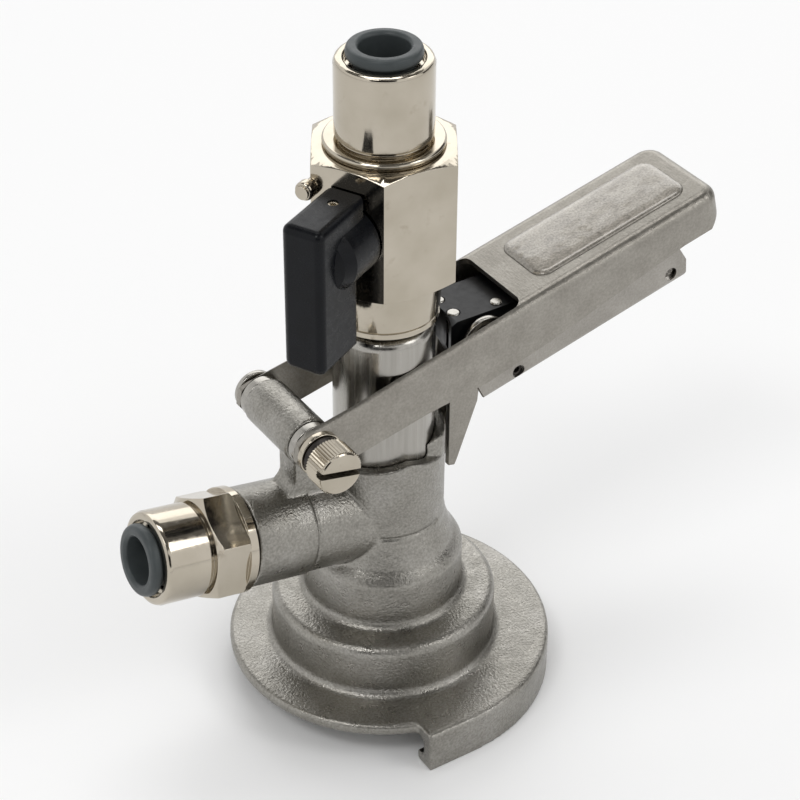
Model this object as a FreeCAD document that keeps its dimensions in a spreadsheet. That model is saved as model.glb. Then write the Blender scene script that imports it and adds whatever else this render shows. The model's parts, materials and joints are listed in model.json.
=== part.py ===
import FreeCAD, Part
import math
import os
import Sketcher

# Keg coupler: slide-on cast base, lever with sprung latch and trigger, gas inlet and
# a sliding probe that carries a ball valve with a push-fit tube socket on top.
# Millimetres. Z is the probe axis, z = 0 the underside of the skirt.
# The lever points along +X, the gas inlet and the open side of the skirt along -X.

driving = {
    # Slide-on base
    "skirt_radius": 39.3,
    "skirt_wall": 3.0,
    "skirt_leg": 12.4,
    "skirt_round": 1.2,
    "lip_thickness": 2.6,
    "lip_width": 2.4,
    "slot_height": 4.8,
    "flange_radius": 36.4,
    "flange_thickness": 3.0,
    "flange_round": 0.7,
    "lower_ring_radius": 26.1,
    "lower_ring_rise": 13.5,
    "upper_ring_radius": 18.25,
    "upper_ring_rise": 11.7,
    "ring_edge": 0.9,
    "ring_waist_radius": 16.1,
    "ring_waist_rise": 3.2,
    "flare_rise": 8.9,
    "ring_round": 2.2,
    "neck_radius": 13.85,
    "parting_height": 46.2,
    "parting_step": 0.22,
    "rim_height": 66.4,
    "rim_slope": 12.0,
    "arm_relief": 10.7,
    "relief_height": 66.5,
    "relief_start": -3.0,
    "relief_slope": 16.7,
    "chamber_radius": 12.4,
    "chamber_top": 45.4,
    "seal_radius": 17.0,
    "seal_bore": 11.6,
    "seal_thickness": 3.4,
    "seal_stand": 0.8,
    # Gas inlet
    "gas_height": 45.8,
    "gas_tilt": 9.7,
    "boss_radius": 11.3,
    "boss_step": 0.35,
    "boss_step_at": 24.0,
    "boss_length": 39.3,
    "thread_radius": 8.9,
    "thread_depth": 12.0,
    "check_radius": 7.9,
    "check_depth": 18.0,
    "port_radius": 2.0,
    "port_height": 43.1,
    "port_length": 10.0,
    "gasket_thickness": 0.8,
    "gasket_radius": 10.7,
    "gas_collar_radius": 12.0,
    "gas_collar_length": 2.0,
    "gas_hex_flats": 22.0,
    "gas_hex_length": 7.8,
    # Push-fit tube sockets, the same at both ends
    "tube_radius": 5.0,
    "tube_play": 0.08,
    "socket_depth": 6.0,
    "barrel_radius": 10.45,
    "barrel_round": 1.2,
    "groove_radius": 9.5,
    "seal_ring_radius": 7.2,
    "seal_ring_length": 2.4,
    "collet_bore": 5.29,
    "collet_sleeve": 6.5,
    "collet_play": 0.06,
    "collet_rim": 8.0,
    "collet_rim_length": 2.6,
    "mouth_radius": 8.35,
    "mouth_depth": 1.6,
    "collet_stand": 2.5,
    "collet_travel": 1.4,
    "bore_radius": 3.75,
    "gas_barrel_length": 10.3,
    "gas_groove_length": 1.2,
    # Pivot bracket on the housing
    "pivot_back": 24.85,
    "pivot_height": 78.94,
    "pivot_radius": 5.5,
    "pivot_half": 9.0,
    "web_half": 3.6,
    "web_front": 0.2,
    "web_back": 5.2,
    "web_bend": 8.525,
    "web_knee": 9.35,
    "web_drop": 17.0,
    "web_round": 0.36,
    "web_root": 7.0,
    # Lever
    "lever_rise": 13.84,
    "lever_travel": 25.0,
    "lever_half": 13.0,
    "lever_sheet": 1.6,
    "lever_top": 4.8,
    "lever_end": 111.0,
    "window_end": 56.5,
    "window_round": 2.6,
    "eye_radius": 5.3,
    "arm_depth": 7.4,
    "arm_deepest": 9.2,
    "arm_full_at": 9.0,
    "arm_even_to": 27.0,
    "deepest_at": 43.0,
    "deepest_to": 60.0,
    "grip_depth": 4.8,
    "grip_even": 12.0,
    "grip_nose": 4.0,
    "grip_nose_rise": 3.5,
    "lever_round": 2.8,
    "grip_corner": 4.5,
    "badge_start": 63.4,
    "badge_end": 105.6,
    "badge_half": 8.1,
    "badge_depth": 0.6,
    "badge_corner": 3.4,
    "badge_thickness": 0.9,
    "badge_play": 0.1,
    # Pivot screw and its stack
    "screw_radius": 3.0,
    "sleeve_wall": 1.0,
    "pin_play": 0.05,
    "spacer_radius": 5.1,
    "side_play": 0.1,
    "outer_washer": 1.6,
    "dark_washer": 2.2,
    "dark_washer_radius": 4.6,
    "head_radius": 5.3,
    "head_length": 5.8,
    "head_slot": 1.5,
    "head_slot_depth": 1.8,
    "head_slot_turn": -26.0,
    "nut_radius": 4.8,
    "nut_length": 1.8,
    # Drive pins between lever and probe
    "drive_reach": 25.6,
    "drive_radius": 3.75,
    "drive_play": 0.3,
    "drive_stub": 2.2,
    "drive_stub_depth": 1.0,
    "drive_gap": 0.3,
    # Probe
    "probe_radius": 11.32,
    "guide_play": 0.08,
    "slot_flat": 8.5,
    "slot_lip": 8.2,
    "shoulder_round": 2.4,
    "spigot_radius": 8.6,
    "spigot_length": 1.4,
    "spigot_thread": 7.0,
    "spigot_thread_length": 8.0,
    "piston_foot": 53.5,
    "lower_tube_radius": 7.6,
    "ring_groove_at": 58.0,
    "ring_groove_length": 2.2,
    "ring_groove_depth": 1.5,
    "tip_height": 9.0,
    "tip_radius": 10.4,
    "tip_length": 5.0,
    "tip_seal_radius": 9.6,
    "tip_seal_thickness": 1.6,
    "ball_room": 6.3,
    "ball_room_height": 17.0,
    "check_ball_radius": 5.4,
    "cage_bore": 4.0,
    "cage_thickness": 2.4,
    "cage_slot": 1.6,
    # Ball valve
    "valve_turn": 207.4,
    "hex_flats": 30.0,
    "hex_length": 30.0,
    "hex_drop": 1.1,
    "collar_radius": 12.7,
    "collar_taper": 0.6,
    "collar_length": 11.7,
    "valve_ball_radius": 8.5,
    "valve_room_radius": 9.2,
    "seat_radius": 9.1,
    "seat_thickness": 3.4,
    "seat_play": 0.03,
    "seat_angle": 40.0,
    "stem_radius": 3.0,
    "stem_play": 0.05,
    "gland_radius": 4.6,
    "gland_depth": 3.6,
    "stem_ring_length": 1.6,
    "tang_half": 1.6,
    "tang_depth": 1.8,
    "stop_radius": 1.5,
    "stop_side": 9.0,
    "stop_rise": 8.8,
    "stop_stand": 3.0,
    "top_groove_length": 2.4,
    "top_flange_radius": 12.9,
    "top_flange_length": 1.4,
    "top_barrel_length": 17.0,
    # Valve knob
    "knob_gap": 0.4,
    "knob_reach": 33.0,
    "knob_half": 4.8,
    "knob_rise": 10.6,
    "knob_drop": 23.4,
    "knob_paddle": 14.7,
    "knob_hub": 8.0,
    "knob_hub_length": 13.0,
    "knob_round": 1.8,
    "knob_screw_radius": 1.2,
    "knob_screw_at": 20.4,
    "knob_screw_foot": 2.6,
    "knob_screw_sunk": 0.3,
    "knob_screw_flats": 1.1,
    # Latch and trigger, seen from the lever's frame
    "latch_at": 46.8,
    "latch_drop": 2.0,
    "latch_pin_radius": 2.0,
    "latch_gap": 0.9,
    "claw_half": 4.5,
    "claw_sheet": 1.5,
    "claw_foot": 53.6,
    "claw_tip_width": 1.7,
    "claw_shoulder": 69.0,
    "claw_shoulder_width": 7.6,
    "claw_head": 4.2,
    "claw_web_drop": 10.5,
    "block_half": 6.7,
    "block_back": 13.5,
    "block_slope": 4.725,
    "block_rise": 6.0,
    "block_slot_rise": 4.6,
    "block_slot_back": 7.0,
    "block_drop": 6.0,
    "block_play": 0.4,
    "vent_radius": 1.6,
    "vent_side": 3.0,
    "disc_radius": 6.0,
    "disc_inner": 7.2,
    "disc_thickness": 1.8,
    "coil_wire": 0.4,
    "coil_radius": 2.65,
    "coil_pitch": 0.9,
    "coil_turns": 1.5,
    "trigger_play": 0.4,
    "trigger_sheet": 1.5,
    "trigger_start": 41.2,
    "trigger_end": 99.6,
    "trigger_bottom": 15.7,
    "trigger_top": 2.5,
    "trigger_web_start": 61.0,
    "trigger_ear": 4.4,
    "trigger_round": 2.0,
    "trigger_hole": 1.6,
    "trigger_hole_front": 51.9,
    "trigger_hole_back": 95.5,
    "trigger_hole_rise": 2.4,
}


class Size:
    """A length or angle that is both a number and an expression on the sheet."""

    def __init__(self, text, value):
        self.text = text
        self.value = value

    def __add__(self, other):
        other = as_size(other)
        return Size(f"({self.text} + {other.text})", self.value + other.value)

    def __radd__(self, other):
        return as_size(other) + self

    def __sub__(self, other):
        other = as_size(other)
        return Size(f"({self.text} - {other.text})", self.value - other.value)

    def __rsub__(self, other):
        return as_size(other) - self

    def __mul__(self, other):
        other = as_size(other)
        return Size(f"({self.text} * {other.text})", self.value * other.value)

    def __rmul__(self, other):
        return as_size(other) * self

    def __truediv__(self, other):
        other = as_size(other)
        return Size(f"({self.text} / {other.text})", self.value / other.value)

    def __neg__(self):
        return Size(f"(0 - {self.text})", -self.value)


def as_size(thing):
    if isinstance(thing, Size):
        return thing
    return Size(f"{float(thing)}", float(thing))


def sine(angle):
    angle = as_size(angle)
    return Size(f"sin({angle.text} * 1 deg)", math.sin(math.radians(angle.value)))


def cosine(angle):
    angle = as_size(angle)
    return Size(f"cos({angle.text} * 1 deg)", math.cos(math.radians(angle.value)))


doc = FreeCAD.newDocument("keg_coupler")
sheet = doc.addObject("Spreadsheet::Sheet", "Sizes")


class Given:
    """The driving dimensions by name."""


given = Given()
for row, (alias, amount) in enumerate(driving.items(), start=1):
    sheet.set(f"A{row}", alias)
    sheet.set(f"B{row}", str(amount))
    sheet.setAlias(f"B{row}", alias)
    setattr(given, alias, Size(f"Sizes.{alias}", float(amount)))
doc.recompute()

pieces = []
counter = {}


def fresh(stem):
    """A name for a helper object that no other object has."""
    counter[stem] = counter.get(stem, 0) + 1
    return f"{stem}_{counter[stem]}"


def keep(thing, node):
    """Mark an object as a finished piece and give it its node name."""
    thing.Label = node
    pieces.append((node, thing))
    return thing


# Placements, as expressions on the sheet


def at(x=0, y=0, z=0, axis=(0, 0, 1), angle=0):
    x, y, z, angle = as_size(x), as_size(y), as_size(z), as_size(angle)
    base = f"vector({x.text}; {y.text}; {z.text})"
    turn = f"rotation(vector({axis[0]}; {axis[1]}; {axis[2]}); {angle.text})"
    return f"placement({base}; {turn})"


def place(thing, where):
    if where:
        thing.setExpression("Placement", where)
    return thing


# Sketches and features


def origin_plane(body, role):
    return [item for item in body.Origin.OriginFeatures if item.Role == role][0]


def sketch_on(body, role, stem, offset=None):
    sketch = body.newObject("Sketcher::SketchObject", fresh(stem))
    sketch.AttachmentSupport = [(origin_plane(body, role), "")]
    sketch.MapMode = "FlatFace"
    if offset is not None:
        offset = as_size(offset)
        sketch.setExpression(".AttachmentOffset.Base.z", offset.text)
    return sketch


def hold(sketch, kind, geometry, point, amount):
    """Fix one coordinate of a sketch point, as a number on the sheet or on an axis."""
    amount = as_size(amount)
    if abs(amount.value) < 1e-9:
        axis = -2 if kind == "DistanceX" else -1
        sketch.addConstraint(Sketcher.Constraint("PointOnObject", geometry, point, axis))
        return
    index = sketch.addConstraint(Sketcher.Constraint(kind, -1, 1, geometry, point, amount.value))
    sketch.setExpression(f"Constraints[{index}]", amount.text)


def draw_outline(sketch, points):
    points = [(as_size(x), as_size(y)) for x, y in points]
    first = sketch.GeometryCount
    corners = [FreeCAD.Vector(x.value, y.value, 0) for x, y in points]
    for start, end in zip(corners, corners[1:] + corners[:1]):
        sketch.addGeometry(Part.LineSegment(start, end), False)
    for number in range(len(points)):
        following = (number + 1) % len(points)
        sketch.addConstraint(
            Sketcher.Constraint("Coincident", first + number, 2, first + following, 1))
    for number, (x, y) in enumerate(points):
        hold(sketch, "DistanceX", first + number, 1, x)
        hold(sketch, "DistanceY", first + number, 1, y)
    return sketch


def draw_circle(sketch, x, y, radius):
    x, y, radius = as_size(x), as_size(y), as_size(radius)
    centre = FreeCAD.Vector(x.value, y.value, 0)
    number = sketch.addGeometry(Part.Circle(centre, FreeCAD.Vector(0, 0, 1), radius.value), False)
    hold(sketch, "DistanceX", number, 3, x)
    hold(sketch, "DistanceY", number, 3, y)
    index = sketch.addConstraint(Sketcher.Constraint("Radius", number, radius.value))
    sketch.setExpression(f"Constraints[{index}]", radius.text)
    return sketch


def new_body(stem, where=None):
    return place(doc.addObject("PartDesign::Body", fresh(stem)), where)


def revolve(body, sketch, kind="PartDesign::Revolution", angle=360):
    feature = body.newObject(kind, fresh("turned"))
    feature.Profile = sketch
    feature.ReferenceAxis = (sketch, ["V_Axis"])
    feature.Angle = angle
    doc.recompute()
    return feature


def pad(body, sketch, length, both=True, reverse=False):
    feature = body.newObject("PartDesign::Pad", fresh("pad"))
    feature.Profile = sketch
    feature.SideType = "Symmetric" if both else "One side"
    feature.Reversed = reverse
    feature.setExpression("Length", as_size(length).text)
    doc.recompute()
    return feature


def pocket(body, sketch, length, both=True, reverse=False):
    """Cut a sketch out of the body, and check that something was cut."""
    before = body.Tip.Shape.Volume
    feature = body.newObject("PartDesign::Pocket", fresh("pocket"))
    feature.Profile = sketch
    feature.SideType = "Symmetric" if both else "One side"
    feature.Reversed = reverse
    feature.setExpression("Length", as_size(length).text)
    doc.recompute()
    if feature.Shape.Volume > before - 1e-6:
        raise RuntimeError(f"{feature.Name} cuts nothing")
    return feature


def pick_edges(feature, test):
    return [f"Edge{i + 1}" for i, edge in enumerate(feature.Shape.Edges) if test(edge)]


def round_edges(body, radius, test, kind="PartDesign::Fillet"):
    """Fillet or chamfer the edges of the body's last feature that pass a test."""
    names = pick_edges(body.Tip, test)
    if not names:
        raise RuntimeError(f"no edge to round on {body.Name}")
    last = body.Tip
    feature = body.newObject(kind, fresh("rounded"))
    feature.Base = (last, names)
    feature.setExpression("Radius" if kind.endswith("Fillet") else "Size", as_size(radius).text)
    doc.recompute()
    return feature


def ring_at(radius, height):
    """A test for a circular edge of this radius at this height."""
    radius, height = as_size(radius).value, as_size(height).value

    def test(edge):
        curve = edge.Curve
        if not isinstance(curve, Part.Circle):
            return False
        return abs(curve.Radius - radius) < 1e-4 and abs(curve.Center.z - height) < 1e-4

    return test


def any_of(*tests):
    return lambda edge: any(test(edge) for test in tests)


def turned(stem, points, where=None):
    """A body turned about its own Z axis from points (radius, height)."""
    body = new_body(stem, where)
    revolve(body, draw_outline(sketch_on(body, "XZ_Plane", stem + "_outline"), points))
    return body


def cylinder(stem, radius, length, where=None):
    solid = doc.addObject("Part::Cylinder", fresh(stem))
    solid.setExpression("Radius", as_size(radius).text)
    solid.setExpression("Height", as_size(length).text)
    return place(solid, where)


def block(stem, length, width, height, where=None):
    solid = doc.addObject("Part::Box", fresh(stem))
    solid.setExpression("Length", as_size(length).text)
    solid.setExpression("Width", as_size(width).text)
    solid.setExpression("Height", as_size(height).text)
    return place(solid, where)


def hexagon(stem, flats, length, where=None):
    solid = doc.addObject("Part::Prism", fresh(stem))
    solid.Polygon = 6
    solid.setExpression("Circumradius", (flats / as_size(math.sqrt(3))).text)
    solid.setExpression("Height", as_size(length).text)
    return place(solid, where)


def ball(stem, radius, where=None):
    solid = doc.addObject("Part::Sphere", fresh(stem))
    solid.setExpression("Radius", as_size(radius).text)
    return place(solid, where)


def joined(stem, parts):
    whole = doc.addObject("Part::MultiFuse", fresh(stem))
    whole.Shapes = parts
    whole.Refine = False
    return whole


def cut(stem, base, tool):
    whole = doc.addObject("Part::Cut", fresh(stem))
    whole.Base = base
    whole.Tool = tool
    whole.Refine = False
    return whole


def shared(stem, base, tool):
    whole = doc.addObject("Part::Common", fresh(stem))
    whole.Base = base
    whole.Tool = tool
    return whole


# Heights and places that several pieces share

g = given
flange_under = g.lip_thickness + g.slot_height
flange_top = flange_under + g.flange_thickness
lower_ring_top = flange_top + g.lower_ring_rise
upper_ring_top = lower_ring_top + g.upper_ring_rise
neck_foot = upper_ring_top + g.flare_rise
guide_radius = g.probe_radius + g.guide_play

drive_height = g.pivot_height + g.drive_reach * sine(g.lever_rise)
slot_top = drive_height + g.drive_radius + g.drive_play
slot_foot = drive_height - g.drive_radius - g.drive_play
shoulder = slot_top + g.slot_lip
collar_foot = shoulder + g.spigot_length
hex_foot = collar_foot + g.collar_length
hex_top = hex_foot + g.hex_length
stem_height = hex_foot + g.hex_length / 2
top_barrel_foot = hex_top + g.top_groove_length
top_barrel_top = top_barrel_foot + g.top_barrel_length

lever_place = at(-g.pivot_back, 0, g.pivot_height, (0, 1, 0), -g.lever_rise)
gas_place = at(0, 0, g.gas_height, (0, 1, 0), g.gas_tilt - 90)
stem_place = (f"placement(vector(0; 0; {stem_height.text}); "
              f"rotation({g.valve_turn.text}; 90; 0))")

arm_inside = g.lever_half - g.lever_sheet
latch_x = (g.latch_at * cosine(g.lever_rise) + g.latch_drop * sine(g.lever_rise)
           - g.pivot_back)
latch_z = (g.latch_at * sine(g.lever_rise) - g.latch_drop * cosine(g.lever_rise)
           + g.pivot_height)

gas_seat = g.boss_length + g.gasket_thickness
gas_hex_foot = gas_seat + g.gas_collar_length
gas_groove_foot = gas_hex_foot + g.gas_hex_length
gas_barrel_foot = gas_groove_foot + g.gas_groove_length
gas_barrel_top = gas_barrel_foot + g.gas_barrel_length


# Housing


def skirt_section(body):
    """The C-shaped section of the skirt: outer wall, slot for the keg rim and lip."""
    outer = g.skirt_radius
    wall = outer - g.skirt_wall
    lip = wall - g.lip_width
    inner = g.flange_radius - 1.5 * g.skirt_wall
    corner = g.slot_height / 5
    return draw_outline(sketch_on(body, "YZ_Plane", "skirt_section"), [
        (lip + 0.6, 0), (outer, 0), (outer, flange_top), (inner, flange_top),
        (inner, flange_under), (wall - corner, flange_under), (wall, flange_under - corner),
        (wall, g.lip_thickness + corner), (wall - corner, g.lip_thickness),
        (lip, g.lip_thickness), (lip, 0.6)])


def skirt():
    body = new_body("skirt")
    section = skirt_section(body)
    half = body.newObject("PartDesign::Revolution", fresh("skirt_bend"))
    half.Profile = section
    half.ReferenceAxis = (section, ["V_Axis"])
    half.Angle = 180
    half.Reversed = True
    doc.recompute()
    near = pad(body, section, g.skirt_leg, both=False, reverse=True)
    mirror = body.newObject("PartDesign::Mirrored", fresh("far_leg"))
    mirror.Originals = [near]
    mirror.MirrorPlane = (origin_plane(body, "XZ_Plane"), [""])
    body.Tip = mirror
    doc.recompute()
    top = flange_top.value
    outer = g.skirt_radius.value

    def outer_top(edge):
        box = edge.BoundBox
        if abs(box.ZMin - top) > 1e-4 or abs(box.ZMax - top) > 1e-4:
            return False
        middle = edge.valueAt((edge.FirstParameter + edge.LastParameter) / 2)
        reach = math.hypot(middle.x, middle.y) if middle.x > 0 else abs(middle.y)
        return abs(reach - outer) < 1e-3

    round_edges(body, g.skirt_round, outer_top)
    return body


def tower():
    body = turned("tower", [
        (0, flange_under), (g.flange_radius, flange_under), (g.flange_radius, flange_top),
        (g.lower_ring_radius, flange_top), (g.lower_ring_radius, lower_ring_top),
        (g.upper_ring_radius, lower_ring_top), (g.upper_ring_radius, upper_ring_top),
        (g.upper_ring_radius - g.ring_edge, upper_ring_top + 1.8 * g.ring_edge),
        (g.ring_waist_radius, upper_ring_top + g.ring_waist_rise),
        (g.neck_radius + g.parting_step, neck_foot),
        (g.neck_radius + g.parting_step, g.parting_height),
        (g.neck_radius, g.parting_height), (g.neck_radius, g.rim_height + 2 * g.ring_round),
        (0, g.rim_height + 2 * g.ring_round)])
    hollow = [ring_at(g.lower_ring_radius, flange_top),
              ring_at(g.upper_ring_radius, lower_ring_top),
              ring_at(g.lower_ring_radius, lower_ring_top),
              ring_at(g.neck_radius + g.parting_step, neck_foot)]
    round_edges(body, g.ring_round, any_of(*hollow))
    rim = [ring_at(g.flange_radius, flange_top), ring_at(g.flange_radius, flange_under)]
    round_edges(body, g.flange_round, any_of(*rim), "PartDesign::Chamfer")
    return body


def gas_boss():
    inner = cylinder("boss_inner", g.boss_radius - g.boss_step, g.boss_step_at, gas_place)
    outer = turned("boss_outer", [
        (0, g.boss_step_at), (g.boss_radius - g.boss_step, g.boss_step_at),
        (g.boss_radius, g.boss_step_at + g.boss_step), (g.boss_radius, g.boss_length),
        (0, g.boss_length)], gas_place)
    return [inner, outer]


def across(x, z):
    """A test for an edge along Y at this place of the XZ plane."""
    x, z = as_size(x).value, as_size(z).value

    def test(edge):
        box = edge.BoundBox
        return (box.YMax - box.YMin > 1 and abs(box.XMin - x) < 1e-3
                and abs(box.XMax - x) < 1e-3 and abs(box.ZMin - z) < 1e-3)

    return test


def boss_top(back):
    """Height just under the top of the gas boss, this far behind the probe axis."""
    run = g.boss_radius - 2 * g.boss_step
    return g.gas_height + (back * sine(g.gas_tilt) + run) / cosine(g.gas_tilt)


def pivot_bracket():
    """The cross barrel and the web that carries it from the boss and the neck."""
    barrel = cylinder("pivot_barrel", g.pivot_radius, 2 * g.pivot_half,
                      at(-g.pivot_back, g.pivot_half, g.pivot_height, (1, 0, 0), 90))
    body = new_body("pivot_web")
    front = -g.pivot_back - g.web_front
    back = -g.pivot_back + g.web_back
    foot = boss_top(g.pivot_back + g.web_front)
    bend = g.pivot_height - g.web_bend
    top = g.pivot_height - g.web_drop
    knee = g.pivot_height - g.web_knee
    radius = g.web_round * (bend - foot)
    reach = 1.5 * radius
    pad(body, draw_outline(sketch_on(body, "XZ_Plane", "web_outline"), [
        (front - reach, boss_top(g.pivot_back + g.web_front + reach)),
        (front, foot), (front, bend), (front - 0.75 * g.pivot_radius, g.pivot_height - 3),
        (front, g.pivot_height), (back, g.pivot_height), (back, knee),
        (-g.neck_radius - 1.5, top), (g.web_root - g.neck_radius, top),
        (g.web_root - g.neck_radius, g.gas_height), (front - reach, g.gas_height)]),
        2 * g.web_half)
    round_edges(body, radius, any_of(across(front, foot), across(front, bend),
                                     across(back, knee), across(-g.neck_radius - 1.5, top)))
    return [barrel, body]


def rim_cut():
    """A big block above the tilted rim, and the two reliefs beside the neck for the arms."""
    span = 4 * g.neck_radius
    above = block("rim_cut", span, span, span,
                  at(-span / 2 * cosine(g.rim_slope), -span / 2,
                     g.rim_height - span / 2 * sine(g.rim_slope), (0, 1, 0), -g.rim_slope))
    reliefs = [block("arm_relief", span, span, span,
                     at(g.relief_start, where, g.relief_height, (0, 1, 0), g.relief_slope))
               for where in (g.arm_relief, -g.arm_relief - span)]
    return [above] + reliefs


def base_housing():
    shaped = cut("housing_rim", tower(), joined("rim_cuts", rim_cut()))
    solid = joined("housing_form", [shaped] + gas_boss() + pivot_bracket())
    probe_way = turned("probe_way", [
        (0, -1), (g.seal_bore, -1), (g.seal_bore, flange_under - 1),
        (g.seal_radius, flange_under - 1),
        (g.seal_radius, flange_under + g.seal_thickness - g.seal_stand),
        (g.chamber_radius, flange_under + g.seal_thickness - g.seal_stand),
        (g.chamber_radius, g.chamber_top), (guide_radius, g.chamber_top + 1),
        (guide_radius, 2 * g.rim_height), (0, 2 * g.rim_height)])
    gas_way = turned("gas_way", [
        (0, g.check_depth), (g.check_radius, g.check_depth),
        (g.check_radius, g.boss_length - g.thread_depth),
        (g.thread_radius, g.boss_length - g.thread_depth),
        (g.thread_radius, g.boss_length + 1), (0, g.boss_length + 1)], gas_place)
    port = cylinder("gas_port", g.port_radius, g.port_length,
                    at(-g.chamber_radius + 2, 0, g.port_height, (0, 1, 0), -90))
    pivot_hole = cylinder("pivot_hole", g.screw_radius + g.sleeve_wall + g.pin_play,
                          4 * g.pivot_half,
                          at(-g.pivot_back, 2 * g.pivot_half, g.pivot_height, (1, 0, 0), 90))
    ways = joined("housing_ways", [probe_way, gas_way, port, pivot_hole])
    return keep(joined("housing", [cut("housing_bored", solid, ways), skirt()]), "base_housing")


def keg_seal():
    top = flange_under + g.seal_thickness - g.seal_stand
    foot = flange_under - g.seal_stand
    keep(turned("keg_seal", [
        (g.seal_bore, foot + 0.6), (g.seal_bore + 0.6, foot), (g.seal_radius - 0.6, foot),
        (g.seal_radius, foot + 0.6), (g.seal_radius, top), (g.seal_bore, top)]), "keg_seal")


# Gas inlet


def socket_points(foot, top):
    """The inside of a push-fit socket from its foot up to its open end."""
    tube = g.tube_radius + g.tube_play
    ring_foot = foot + g.socket_depth
    ring_top = ring_foot + g.seal_ring_length
    sleeve = g.collet_sleeve + g.collet_play
    mouth_foot = top - g.mouth_depth
    return [(g.mouth_radius + 0.3, top), (g.mouth_radius, top - 0.3),
            (g.mouth_radius, mouth_foot), (sleeve, mouth_foot), (sleeve, ring_top),
            (g.seal_ring_radius, ring_top), (g.seal_ring_radius, ring_foot),
            (tube, ring_foot), (tube, foot), (g.bore_radius, foot)]


def barrel_end(top):
    """The rounded outer edge at the open end of a socket."""
    step = g.barrel_round
    return [(g.barrel_radius, top - step), (g.barrel_radius - 0.3 * step, top - 0.3 * step),
            (g.barrel_radius - step, top)]


def gas_socket_foot():
    return gas_barrel_top - g.gas_barrel_length - g.gas_hex_length / 2


def gas_fitting():
    foot = g.boss_length - g.thread_depth
    top = gas_barrel_top
    outside = [
        (g.bore_radius, foot), (g.thread_radius, foot), (g.thread_radius, gas_seat),
        (g.gas_collar_radius, gas_seat), (g.gas_collar_radius, gas_hex_foot),
        (g.groove_radius, gas_hex_foot), (g.groove_radius, gas_barrel_foot),
        (g.barrel_radius, gas_barrel_foot)] + barrel_end(top)
    turned_part = turned("gas_fitting", outside + socket_points(gas_socket_foot(), top),
                         gas_place)
    nut = hexagon("gas_hex", g.gas_hex_flats, g.gas_hex_length,
                  f"{gas_place} * {at(0, 0, gas_hex_foot)}")
    corner = g.gas_hex_flats / as_size(math.sqrt(3))
    flat = g.gas_hex_flats / 2 - 0.2
    envelope = turned("gas_hex_turned", [
        (0, gas_hex_foot), (corner - 0.4, gas_hex_foot), (corner, gas_hex_foot + 0.5),
        (corner, gas_groove_foot - g.hex_drop), (flat, gas_groove_foot),
        (0, gas_groove_foot)], gas_place)
    hollow = cylinder("gas_hex_hole", g.groove_radius - 0.4, g.gas_hex_length,
                      f"{gas_place} * {at(0, 0, gas_hex_foot)}")
    ring = cut("gas_hex_ring", shared("gas_hex_form", nut, envelope), hollow)
    keep(joined("gas_fitting_whole", [turned_part, ring]), "gas_fitting")


def gas_gasket():
    keep(turned("gas_gasket", [
        (g.thread_radius, g.boss_length), (g.gasket_radius, g.boss_length),
        (g.gasket_radius, gas_seat), (g.thread_radius, gas_seat)], gas_place),
        "gas_fitting_gasket")


def seal_ring(foot, where, node):
    """A rubber ring in its groove, as the tube presses it."""
    low = foot + g.socket_depth
    top = low + g.seal_ring_length
    inner = g.tube_radius + g.tube_play
    outer = g.seal_ring_radius
    round_off = g.seal_ring_length / 4
    body = turned("seal_ring", [
        (inner + round_off, low), (outer - round_off, low), (outer, low + round_off),
        (outer, top - round_off), (outer - round_off, top), (inner + round_off, top),
        (inner, top - round_off), (inner, low + round_off)], where)
    keep(body, node)


def collet(foot, top, where, node):
    """A push-fit collet: split sleeve in the socket and the rim that is pressed to let go."""
    rim_top = top + g.collet_stand
    rim_foot = rim_top - g.collet_rim_length
    sleeve_foot = foot + g.socket_depth + g.seal_ring_length + g.collet_travel + 0.3
    sleeve = g.collet_sleeve
    body = turned("collet", [
        (g.collet_bore, sleeve_foot), (sleeve, sleeve_foot), (sleeve, rim_foot),
        (g.collet_rim - 0.4, rim_foot), (g.collet_rim, rim_foot + 0.4),
        (g.collet_rim, rim_top - 1.1), (g.collet_rim - 0.3, rim_top - 0.3),
        (g.collet_rim - 1.1, rim_top), (g.collet_bore + 0.6, rim_top),
        (g.collet_bore, rim_top - 0.6)], where)
    keep(body, node)


def check_valve():
    """The one-way rubber beak behind the gas fitting, its lips closed."""
    foot = g.check_depth
    top = g.boss_length - g.thread_depth
    shell = turned("check_valve", [
        (0, foot + 0.4), (1.2, foot + 0.4), (g.check_radius - 2.2, top - 2.6),
        (g.check_radius, top - 2.6), (g.check_radius, top), (g.bore_radius, top),
        (1.0, foot + 2.2), (0, foot + 2.2)], gas_place)
    keep(shell, "gas_check_valve")


# Probe


def probe_tube():
    tip = g.tip_height
    room_top = tip + g.ball_room_height
    collar_thread = collar_foot + g.spigot_thread_length
    groove_foot = g.ring_groove_at
    groove_top = groove_foot + g.ring_groove_length
    groove = g.probe_radius - g.ring_groove_depth
    body = turned("probe", [
        (g.ball_room, tip), (g.tip_seal_radius, tip), (g.tip_seal_radius, tip + g.tip_seal_thickness),
        (g.tip_radius, tip + g.tip_seal_thickness), (g.tip_radius, tip + g.tip_length),
        (g.lower_tube_radius, tip + g.tip_length + 2), (g.lower_tube_radius, g.piston_foot - 2),
        (g.probe_radius, g.piston_foot), (g.probe_radius, groove_foot), (groove, groove_foot),
        (groove, groove_top), (g.probe_radius, groove_top), (g.probe_radius, shoulder),
        (g.spigot_radius, shoulder), (g.spigot_radius, collar_foot),
        (g.spigot_thread, collar_foot), (g.spigot_thread, collar_thread),
        (g.bore_radius, collar_thread), (g.bore_radius, room_top + 2), (g.ball_room, room_top)])
    round_edges(body, g.shoulder_round, ring_at(g.probe_radius, shoulder))
    keep(cut("probe_slotted", body, drive_slots()), "probe_tube")


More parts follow.
